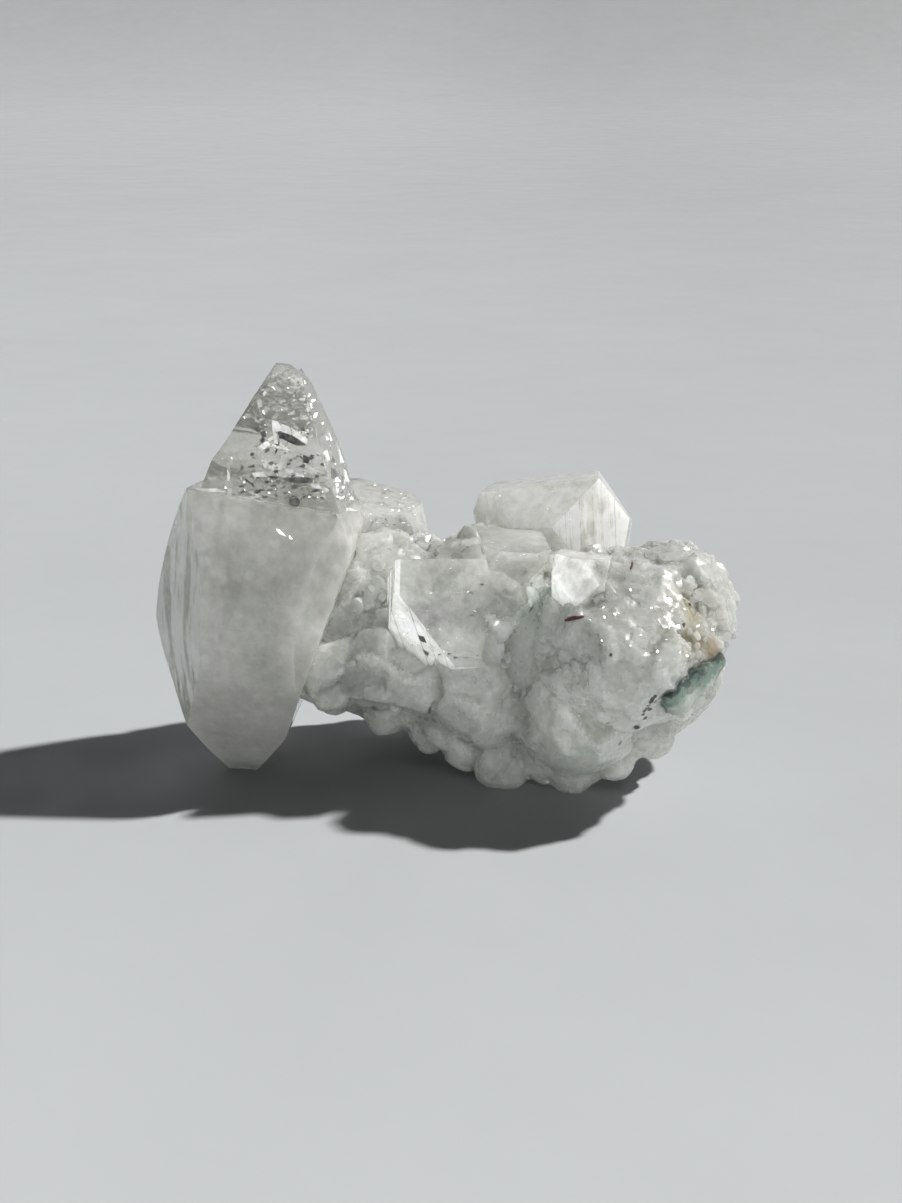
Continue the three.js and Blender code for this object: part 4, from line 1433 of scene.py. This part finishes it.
def stone_material(settings):
    """Green stone: dark mottled green along the upper edge, glassy grey-green below.

    The edges between its colours rise to the right by STONE_RISE, and are ragged."""
    shader = Shader("green_stone")
    shader.set(ior=1.5, transmission_weight=0.1)
    across, _, height = shader.coordinates()
    level = shader.math("SUBTRACT", height, shader.product(across, STONE_RISE))
    ragged = shader.remap(shader.noise(900, 5, 0.7), 0.3, 0.7, -0.0006, 0.0006)
    level = shader.sum(level, ragged)
    edge = (2.9 - STONE_RISE * SHIFT[0]) * MM
    pale = shader.remap(level, edge - 0.0009, edge - 0.0004, 1.0, 0.0)
    dark = shader.remap(level, edge + 0.0001, edge + 0.0004, 0.0, 1.0)
    base = shader.blend(pale, settings.middle, settings.pale)
    rough = shader.remap(shader.noise(500, 3), 0.3, 0.7, 0.15, 0.5)
    shader.feed(base_color=shader.blend(dark, base, settings.dark), roughness=rough)
    shader.bump(shader.noise(1500, 4, 0.6), 0.00005, 0.6)
    return shader.material


def flake_material(name, low, high, scale, roughness=0.3):
    """Flakes and cracks of the crystals: mottled between two colours."""
    shader = Shader(name)
    shader.feed(base_color=shader.ramp(shader.noise(scale, 4, 0.6), [(0.35, low), (0.65, high)]))
    shader.set(roughness=roughness)
    return shader.material


def fibre_material():
    """Red-brown fibre, darker in places."""
    shader = Shader("fibre")
    stops = [(0.3, (0.025, 0.007, 0.008)), (0.7, (0.12, 0.032, 0.028))]
    shader.feed(base_color=shader.ramp(shader.noise(2500, 2), stops))
    shader.set(roughness=0.7)
    return shader.material


def floor_material(settings):
    """Pale painted floor with very faint cloudy mottling, and painted light falloff: lighter in front
    and at the left, darker behind and to the right.
    """
    shader = Shader("floor")
    darker = [channel * 0.975 for channel in settings.floor_colour]
    lighter = [min(1, channel * 1.02) for channel in settings.floor_colour]
    base = shader.ramp(shader.noise(28, 5, 0.55), [(0.3, darker), (0.7, lighter)])
    across, away, _ = shader.coordinates()
    # Painted light falloff: lighter in front and at the left, darker behind and to the right.
    tone = shader.remap(away, -0.05, 0.45, 1.0, 0.82)
    tone = shader.product(tone, shader.remap(away, -0.07, -0.01, 1.14, 1.0))
    tone = shader.product(tone, shader.remap(across, -0.05, 0.08, 1.03, 0.91))
    rough = shader.remap(shader.noise(90, 3), 0.3, 0.7, 0.55, 0.75)
    shader.feed(base_color=shader.toned(base, tone), roughness=rough)
    shader.bump(shader.noise(260, 4, 0.5), 0.0001, 0.25)
    return shader.material


# Settings, operators and panel


def colour_setting(name, description, default):
    """A colour that a user can change."""
    return bpy.props.FloatVectorProperty(
        name=name, description=description, subtype="COLOR", size=3, min=0, max=1, default=default
    )


def number_setting(name, description, default, **limits):
    """A number that a user can change, with its unit, its subtype or its limits."""
    return bpy.props.FloatProperty(name=name, description=description, default=default, **limits)


def angle_setting(name, description, degrees):
    """An angle that a user can change, given in degrees."""
    return number_setting(name, description, math.radians(degrees), subtype="ANGLE")


class CrystalSettings(bpy.types.PropertyGroup):
    """How the clear crystals look."""

    tint: colour_setting("Tint", "Colour of light through a face", (0.965, 0.957, 0.918))
    depth_tint: colour_setting("Depth tint", "Colour that thick crystal takes", (0.76, 0.79, 0.73))
    density: number_setting("Density", "How fast the depth tint builds up, per metre", 18.0, min=0)
    mottling: number_setting("Mottling", "How uneven the tone is", 0.17, min=0, max=0.5)
    ior: number_setting("IOR", "How strongly the crystal bends light", 1.535, min=1)
    roughness: number_setting(
        "Roughness", "Softness of the smoothest faces", 0.025, min=0, max=1, subtype="FACTOR"
    )


class CrustSettings(bpy.types.PropertyGroup):
    """How the milky crust is built and coloured."""

    spacing: number_setting(
        "Spacing", "Distance between small crystals", 0.00086, unit="LENGTH", min=0.0006
    )
    smallest: number_setting(
        "Smallest", "Half width of the smallest crystals", 0.00024, unit="LENGTH", min=0.0002
    )
    largest: number_setting(
        "Largest", "Half width of the largest crystals", 0.0007, unit="LENGTH", min=0.0003
    )
    milkiness: number_setting(
        "Milkiness", "Share of light that sinks in and spreads", 1.0, min=0, max=1, subtype="FACTOR"
    )
    depth: number_setting("Depth", "How far light spreads inside", 0.0024, unit="LENGTH", min=0)
    white: colour_setting("White", "Brightest milky colour", (0.79, 0.8, 0.755))
    grey: colour_setting("Grey", "Duller milky colour", (0.65, 0.66, 0.615))


class StoneSettings(bpy.types.PropertyGroup):
    """Colours of the green sliver."""

    pale: colour_setting("Pale", "Glassy lower part", (0.42, 0.46, 0.41))
    middle: colour_setting("Middle", "Grey-green between the two others", (0.14, 0.22, 0.175))
    dark: colour_setting("Dark", "Upper edge", (0.01, 0.032, 0.022))


class StageSettings(bpy.types.PropertyGroup):
    """Floor, lights and camera."""

    floor_colour: colour_setting("Floor", "Colour of the floor", (0.36, 0.375, 0.387))
    key_strength: number_setting("Key", "Strength of the key light", 6.0, min=0)
    key_turn: angle_setting("Key turn", "Key light's direction round the floor, from +X", KEY_TURN)
    key_height: angle_setting("Key height", "Key light's angle above the floor", KEY_HEIGHT)
    key_spread: angle_setting("Key spread", "Angular size of the key light", 3.0)
    room_strength: number_setting(
        "Room light", "Strength of the bright room that glass shows", 0.8, min=0
    )
    specimen_share: number_setting(
        "Key on specimen", "Key light on the specimen, as a share of the floor's", 0.69, min=0
    )


# Painted highlights and painted shade on the tallest crystal, as the camera sees them: spots that
# lighten or darken its tone; mm across and above the picture's middle, radius and amount.
TALL_PAINTED_LIGHT_AND_SHADE = [
    (-15.5, 4.7, 7.5, -0.06), (-8.2, 6.3, 2.4, -0.14), (-8.9, 3.2, 2.2, -0.12),
    (-10.2, 0.1, 2.0, -0.1), (-20.1, 5.3, 0.45, 0.1), (-19.5, 4.2, 0.45, 0.1),
    (-18.9, 3.1, 0.45, 0.1), (-18.4, 2.1, 0.45, 0.1), (-17.5, 1.6, 0.45, 0.08),
    (-16.5, 1.8, 0.45, 0.08), (-15.5, 2.0, 0.45, 0.07), (-14.5, 3.2, 0.45, 0.06),
    (-13.5, 4.5, 0.45, 0.06), (-16.7, 4.0, 1.5, -0.05), (-19.5, 4.5, 1.0, 0.12),
    (-18.9, 3.2, 0.69, 0.08), (-18.2, 2.1, 0.46, 0.08), (-20.1, 5.7, 0.62, 0.08),
    (-14.5, 3.2, 2.0, 0.05), (-16.4, -0.9, 0.54, 0.14), (-18.5, -3.0, 0.85, 0.07),
    (-18.9, -4.5, 0.54, 0.07), (-11.6, -0.7, 2.0, 0.1), (-9.5, 1.0, 1.15, 0.12),
    (-8.9, 2.4, 0.69, 0.1), (-10.2, -1.9, 0.85, 0.1), (-16.9, 0.9, 1.23, -0.08),
    (-13.9, -5.4, 2.0, -0.1), (-16.2, -7.6, 1.54, -0.04), (-18.9, 6.7, 0.85, 0.08),
    (-14.5, 6.3, 1.54, -0.05), (-8.2, 4.7, 1.08, -0.05), (-12.9, -3.7, 0.54, 0.08),
    (-7.3, -0.7, 0.69, 0.1),
]
# Painted highlights and painted shade on the other crystals, given the same way.
SIDE_PAINTED_LIGHT_AND_SHADE = {
    "FrontCrystal": [
        (-3.0, -2.4, 1.5, 0.2), (0.3, 1.3, 5.0, -0.08), (4.2, -0.8, 2.4, -0.12),
        (1.5, -4.3, 3.2, 0.13), (-3.5, -1.6, 1.23, 0.2), (5.3, -3.0, 2.0, 0.1),
        (-0.8, 2.8, 2.31, -0.2), (4.2, 0.9, 2.62, -0.2), (1.0, 1.8, 0.69, 0.15),
        (-3.9, 0.6, 0.62, 0.15), (1.9, -1.4, 1.23, -0.15), (-1.6, -0.3, 1.23, 0.05),
        (5.3, 3.2, 1.08, 0.12), (-0.1, 0.1, 0.92, 0.1), (3.1, -1.8, 0.62, -0.15),
    ],
    "SmallCrystal": [
        (10.4, 1.8, 2.4, -0.2), (11.8, 2.3, 1.3, -0.3), (11.3, 0.3, 0.9, -0.3),
        (9.3, 3.0, 0.6, -0.2), (10.7, 0.9, 0.9, -0.1),
    ],
    "RearCrystal": [
        (6.1, 7.8, 1.23, 0.08), (7.2, 9.2, 0.92, -0.08), (4.9, 6.7, 0.77, 0.1),
    ],
}
# Parts of the crystals that carry flecks, as the camera sees their corners, and how many pale and
# dark ones.
FLECKED = {
    "FrontCrystal": ([(-4.7, -4.1), (4.2, -4.5), (5.7, 3.2), (-4.7, 3.2)], 70, 70),
    "MiddleCrystal": ([(3.4, 1.6), (7.5, 2.0), (7.2, 4.3), (3.1, 4.7)], 20, 20),
    "RearCrystal": ([(3.8, 6.3), (11.5, 6.3), (10.8, 9.5), (3.8, 8.4)], 8, 0),
    "RearLeftCrystal": ([(-6.8, 5.9), (-2.5, 5.9), (-3.0, 8.2), (-6.8, 9.2)], 40, 40),
}
# The faces of the side crystals that carry painted highlight streaks, and the streaks' least and most
# tone.
HIGHLIGHT_STREAK_FACES = {"RearCrystal": ((5,), -0.06, 1.0)}
# Each side crystal's haze, its number of tiny pockets of air, the numbers of its milky faces, and
# those faces' added haze and roughness.
HAZE = {
    "SmallCrystal": (0.7, 20, (0, 1, 4, 6), 0.2, 0.05),
    "MiddleCrystal": (0.4, 25, ()),
    "FrontCrystal": (0.35, 120, (5, 2, 6, 8), 0.35, 0.05),
    "RearCrystal": (0.55, 60, (1, 5), 0.35, 0.05),
    "RearLeftCrystal": (0.45, 80, ()),
}
# The crystals that one more reflector lights.
BRIGHTENED = ("FrontCrystal", "SmallCrystal")
# The corners of the cap, of its part with dark flecks and of its tip, as the camera sees them.
CAP_CORNERS = [(-18.9, 9.0), (-7.6, 7.8), (-11.6, 17.7), (-13.8, 17.7)]
CAP_DARK_CORNERS = [(-16.9, 8.0), (-7.8, 7.8), (-9.9, 13.0), (-14.5, 13.2)]
CAP_TIP_CORNERS = [(-16.5, 12.4), (-9.5, 12.4), (-11.6, 17.5), (-13.8, 17.5)]


class SPECIMEN_OT_tall(bpy.types.Operator):
    """Builds the tallest crystal with its ledge, grooved prism faces and inner cracks"""

    bl_idname = "specimen.tall"
    bl_label = "Tall crystal"

    def execute(self, context):
        roll = np.random.default_rng(5)
        cracks = [lens_void(*crack, roll) for crack in TALL_CRACKS]
        mesh = make_mesh("tall", *gathered([tall_loft(), *cracks]), 9)
        meet = seen_through(mesh)
        places = cap_veil(70, roll)
        sizes = 0.08 + 0.4 * roll.uniform(0, 1, len(places)) ** 2.2
        mesh = with_shells(mesh, flat_voids(places, sizes, (0, -0.15, 1), 0.22, roll))
        mesh.shade_smooth()
        mesh.set_sharp_from_angle(angle=math.radians(9))
        left_prism = [n for n in TALL_PRISM_FACES if TALL.rows[n][0] == 225]
        # Its tone carries painted light and shade spots, and painted highlight streaks on its left
        # prism face.
        material = crystal_material(
            "tall_crystal_clear", context.scene.specimen_crystals, 0.22,
            milk=(tall_milk, 0.55, 0.1), painted_light_and_shade=placed(meet, TALL_PAINTED_LIGHT_AND_SHADE),
            highlight_streaks=(TALL, left_prism, -0.2, 0.75), calm=0.6,
        )
        put_piece("TallCrystal", mesh, material, "clear_crystal", "tall_crystal")
        self.add_flakes(meet, roll)
        return {"FINISHED"}

    def add_flakes(self, meet, roll):
        """The cap's pale and dark flakes. Each group's numbers are its depth, lean and thickness."""
        flecks = fleck_outlines(260, CAP_CORNERS, roll, 0.06, 0.3)
        tip_flecks = fleck_outlines(60, CAP_TIP_CORNERS, roll, 0.05, 0.2)
        pale = [
            flakes(meet, WEDGE_FLAKES, -0.1, 0.6),
            flakes(meet, PALE_FLAKES, 0.1, 0.5),
            flakes(meet, LEDGE_FLAKES, 0.03, 0.1),
            flakes(meet, CHIPS, 0.0, 0.9),
            flakes(meet, flecks, 0.15, 0.9),
            flakes(meet, tip_flecks, 0.15, 0.9),
        ]
        look = flake_material("pale_flake", (0.5, 0.51, 0.49), (0.95, 0.95, 0.94), 1500)
        put_piece("PaleFlakes", make_mesh("pale", *gathered(pale)), look, "clear_crystal")
        flecks = fleck_outlines(150, CAP_DARK_CORNERS, roll, 0.05, 0.2)
        dark = [flakes(meet, DARK_FLAKES, -0.02), flakes(meet, flecks, -0.01, 0.0, 0.03)]
        look = flake_material("dark_flake", (0.04, 0.04, 0.04), (0.26, 0.26, 0.25), 1500)
        put_piece("DarkFlakes", make_mesh("dark", *gathered(dark)), look, "clear_crystal")


class SPECIMEN_OT_side_crystals(bpy.types.Operator):
    """Builds the five smaller crystals from their faces, each giving way to those before it"""

    bl_idname = "specimen.side_crystals"
    bl_label = "Side crystals"

    def execute(self, context):
        roll = np.random.default_rng(23)
        before = [TALL]
        pale, dark = [], []
        for name, crystal in CRYSTALS.items():
            mesh = crystal.mesh()
            cuts = [groove_cutter(crystal, *groove, roll) for groove in crystal.striated]
            cuts += [
                other.mesh(0.03) for other in before
                if np.linalg.norm(other.centre - crystal.centre) < 15
            ]
            if cuts:
                mesh = combined(mesh, cuts, "DIFFERENCE")
            haze, pockets, milky_faces, *more = HAZE[name]
            places = inner_places(crystal, pockets, (0.25, 1.6), roll)
            places = places[np.min([-other.depth(places) for other in before], axis=0) > 0.4]
            sizes = 0.1 + 0.35 * roll.uniform(0, 1, len(places)) ** 2
            meet = seen_through(mesh)
            if name == "FrontCrystal":
                dark.append(flakes(meet, FRONT_WEDGES, -0.02))
            if name in FLECKED:
                corners, pale_count, dark_count = FLECKED[name]
                flecks = fleck_outlines(pale_count, corners, roll, 0.03, 0.14)
                pale.append(flakes(meet, flecks, 0.01, 0.8, 0.03))
                flecks = fleck_outlines(dark_count, corners, roll, 0.03, 0.14)
                dark.append(flakes(meet, flecks, -0.01, 0.0, 0.03))
            mesh = with_shells(mesh, flat_voids(places, sizes, (0, -0.15, 1), 0.3, roll))
            milky = functools.partial(facing, crystal=crystal, numbers=milky_faces)
            # The tone carries painted light and shade spots, and on some faces painted highlight
            # streaks.
            material = crystal_material(
                name, context.scene.specimen_crystals, haze,
                milk=(milky, *more) if milky_faces else None,
                painted_light_and_shade=placed(meet, SIDE_PAINTED_LIGHT_AND_SHADE.get(name, [])),
                highlight_streaks=(crystal, *HIGHLIGHT_STREAK_FACES[name]) if name in HIGHLIGHT_STREAK_FACES else None,
            )
            piece = put_piece(name, mesh, material, "clear_crystal", NODE_OF[name])
            if name in BRIGHTENED:
                join_group("Front", piece)
            before.append(crystal)
        look = flake_material("dark_wedge", (0.1, 0.11, 0.1), (0.3, 0.31, 0.29), 900, 0.4)
        put_piece("DarkFlecks", make_mesh("flecks", *gathered(dark)), look, "clear_crystal")
        look = flake_material("pale_fleck", (0.7, 0.71, 0.68), (0.95, 0.95, 0.93), 1200)
        put_piece("PaleFlecks", make_mesh("glints", *gathered(pale)), look, "clear_crystal")
        return {"FINISHED"}


class SPECIMEN_OT_crust(bpy.types.Operator):
    """Builds the milky crust of small crystals, with the lumps under it and the fibres on it"""

    bl_idname = "specimen.crust"
    bl_label = "Druse crust"

    def execute(self, context):
        settings = context.scene.specimen_crust
        mesh = crust_mesh(settings.spacing / MM, settings.smallest / MM, settings.largest / MM)
        meet = seen_through(mesh)
        # The crust's tone takes painted light and painted shade spots from a table.
        tables = [placed(meet, table) for table in (DARK_GRAINS, CRUST_PAINTED_LIGHT_AND_SHADE, STAINS)]
        material = crust_material(settings, *tables)
        put_piece("DruseCrust", mesh, material, "milky_druse", "druse_crust")
        threads = []
        for places, radius in FIBRES:
            points, normals = meet(places)
            threads.append(tube(points + radius * normals, radius))
        mesh = make_mesh("fibres", *gathered(threads))
        put_piece("RedBrownFibres", mesh, fibre_material(), "green_stone")
        return {"FINISHED"}


class SPECIMEN_OT_sliver(bpy.types.Operator):
    """Builds the sliver of green stone"""

    bl_idname = "specimen.sliver"
    bl_label = "Green sliver"

    def execute(self, context):
        material = stone_material(context.scene.specimen_stone)
        put_piece("GreenSliver", sliver_mesh(), material, "green_stone", "celadonite_sliver")
        return {"FINISHED"}


def put_floor(settings):
    """The floor: flat round the specimen, then rising behind it in one slow curve."""
    across = np.linspace(-2.2, 2.2, 23)
    away = np.concatenate([np.linspace(-0.9, 0.9, 19), np.linspace(1.0, 2.6, 33)])
    x, y = np.meshgrid(across, away)
    z = 1.1 * smooth_step(0.9, 2.6, y) ** 1.5
    points = np.stack([x, y, z], axis=-1).reshape(-1, 3)
    width = len(across)
    row, column = np.meshgrid(np.arange(len(away) - 1), np.arange(width - 1), indexing="ij")
    first = row * width + column
    quads = np.stack([first, first + 1, first + 1 + width, first + width], axis=-1)
    mesh = make_mesh("floor", points, quads.reshape(-1, 4).tolist(), 60)
    mesh.materials.append(floor_material(settings))
    floor = bpy.data.objects.new("Floor", mesh)
    bpy.context.scene.collection.objects.link(floor)
    join_group("Floors", floor)


def put_lamp(light, place, angles, lit, blocking):
    """Puts a light into the scene. It lights one collection, and one more may shade it."""
    lamp = bpy.data.objects.new(light.name, light)
    lamp.location = place
    lamp.rotation_euler = angles
    bpy.context.scene.collection.objects.link(lamp)
    lamp.light_linking.receiver_collection = named_group(lit)
    if blocking:
        lamp.light_linking.blocker_collection = named_group(blocking)


def put_key_light(settings):
    """One sun's light, with its own strength and shade on the floor, the crystals and the crust."""
    angles = (0, math.pi / 2 - settings.key_height, settings.key_turn)
    for name, share, lit, blocking in (
        ("Key on the floor", 1.0, "Floors", None),
        ("Key on the crystals", settings.specimen_share, "Crystals", "Opaque"),
        ("Key on the crust", 0.5 * settings.specimen_share, "Opaque", "Sunlit"),
        ("Key through the crystals", 0.22 * settings.specimen_share, "Opaque", "Opaque"),
    ):
        key = bpy.data.lights.new(name, "SUN")
        key.energy = settings.key_strength * share
        key.angle = settings.key_spread
        key.color = (1.0, 0.985, 0.96)
        put_lamp(key, (0, 0, 0), angles, lit, blocking)


def put_soft_lights():
    """Softboxes and reflectors round the specimen: place, size, power and what each lights."""
    aim = np.array([0, 0, 0.012])
    for name, place, size, power, lit in (
        ("Front softbox", (0.3, -0.42, 0.36), 0.4, 0.9, "Sunlit"),
        ("Front crystal reflector", (-0.18, -0.28, -0.1), 0.2, 1.45, "Front"),
        ("Floor reflector", (0.2, -0.32, -0.1), 0.3, 0.38, "Opaque"),
        ("Left reflector", (-0.4, -0.12, 0.12), 0.3, 0.42, "Crystals"),
        ("Left softbox", (-0.1, -0.45, 0.2), 0.3, 0.42, "Opaque"),
    ):
        light = bpy.data.lights.new(name, "AREA")
        light.shape = "SQUARE"
        light.size = size
        light.energy = power
        light.color = (0.97, 0.99, 1.0)
        put_lamp(light, place, look_angles(aim - place), lit, "Opaque")


def look_angles(way):
    """Euler angles that turn a lamp's -Z along a direction."""
    flat = math.hypot(way[0], way[1])
    return (math.atan2(flat, -way[2]), 0, math.atan2(way[1], way[0]) - math.pi / 2)


def put_room(settings):
    """The room: a sky brighter behind and above, which glass shows and matt surfaces don't take."""
    world = bpy.data.worlds.new("Studio")
    world.use_nodes = True
    tree = world.node_tree
    sky = tree.nodes["Background"]
    sky.inputs["Color"].default_value = (0.95, 0.98, 1.0, 1.0)
    way = tree.nodes.new("ShaderNodeTexCoord")
    toward = tree.nodes.new("ShaderNodeVectorMath")
    toward.operation = "DOT_PRODUCT"
    toward.inputs[1].default_value = (0.25, 0.75, 0.61)
    tree.links.new(way.outputs["Generated"], toward.inputs[0])
    level = tree.nodes.new("ShaderNodeMapRange")
    strength = settings.room_strength
    for index, value in enumerate((-0.4, 1.0, 0.45 * strength, 1.5 * strength), 1):
        level.inputs[index].default_value = value
    tree.links.new(toward.outputs["Value"], level.inputs[0])
    tree.links.new(level.outputs[0], sky.inputs["Strength"])
    bpy.context.scene.world = world
    world.cycles_visibility.diffuse = False


def put_camera():
    """The camera that took the photo, level across and looking down by its elevation."""
    lens = bpy.data.cameras.new("Camera")
    lens.sensor_width = SENSOR_WIDTH
    lens.lens = CAMERA_FOCAL * SENSOR_WIDTH / PHOTO_HEIGHT
    lens.clip_start = 0.005
    lens.clip_end = 20
    camera = bpy.data.objects.new("Camera", lens)
    camera.location = (camera_place()[0] + SHIFT) * MM
    camera.rotation_euler = (math.pi / 2 - math.radians(CAMERA_ELEVATION), 0, 0)
    bpy.context.scene.collection.objects.link(camera)
    bpy.context.scene.camera = camera


class SPECIMEN_OT_stage(bpy.types.Operator):
    """Sets the floor, the lights and the camera"""

    bl_idname = "specimen.stage"
    bl_label = "Stage"

    def execute(self, context):
        settings = context.scene.specimen_stage
        put_floor(settings)
        put_key_light(settings)
        put_soft_lights()
        put_room(settings)
        put_camera()
        context.scene.view_settings.view_transform = "Standard"
        return {"FINISHED"}


class SPECIMEN_PT_panel(bpy.types.Panel):
    """Lists the settings and the pieces"""

    bl_idname = "SPECIMEN_PT_panel"
    bl_label = "Apophyllite specimen"
    bl_space_type = "VIEW_3D"
    bl_region_type = "UI"
    bl_category = "Specimen"

    def draw(self, context):
        layout = self.layout
        for name, group in SETTINGS.items():
            box = layout.box()
            settings = getattr(context.scene, name)
            for field in group.__annotations__:
                box.prop(settings, field)
        for operator in OPERATORS:
            layout.operator(operator.bl_idname)


SETTINGS = {
    "specimen_crystals": CrystalSettings,
    "specimen_crust": CrustSettings,
    "specimen_stone": StoneSettings,
    "specimen_stage": StageSettings,
}
OPERATORS = [
    SPECIMEN_OT_stage,
    SPECIMEN_OT_crust,
    SPECIMEN_OT_tall,
    SPECIMEN_OT_side_crystals,
    SPECIMEN_OT_sliver,
]
CLASSES = [*SETTINGS.values(), *OPERATORS, SPECIMEN_PT_panel]


def register():
    for cls in CLASSES:
        bpy.utils.register_class(cls)
    for name, group in SETTINGS.items():
        setattr(bpy.types.Scene, name, bpy.props.PointerProperty(type=group))


def unregister():
    for name in SETTINGS:
        delattr(bpy.types.Scene, name)
    for cls in reversed(CLASSES):
        bpy.utils.unregister_class(cls)


def main():
    register()
    bpy.ops.specimen.stage()
    bpy.ops.specimen.crust()
    bpy.ops.specimen.tall()
    bpy.ops.specimen.side_crystals()
    bpy.ops.specimen.sliver()


if __name__ == "__main__":
    main()
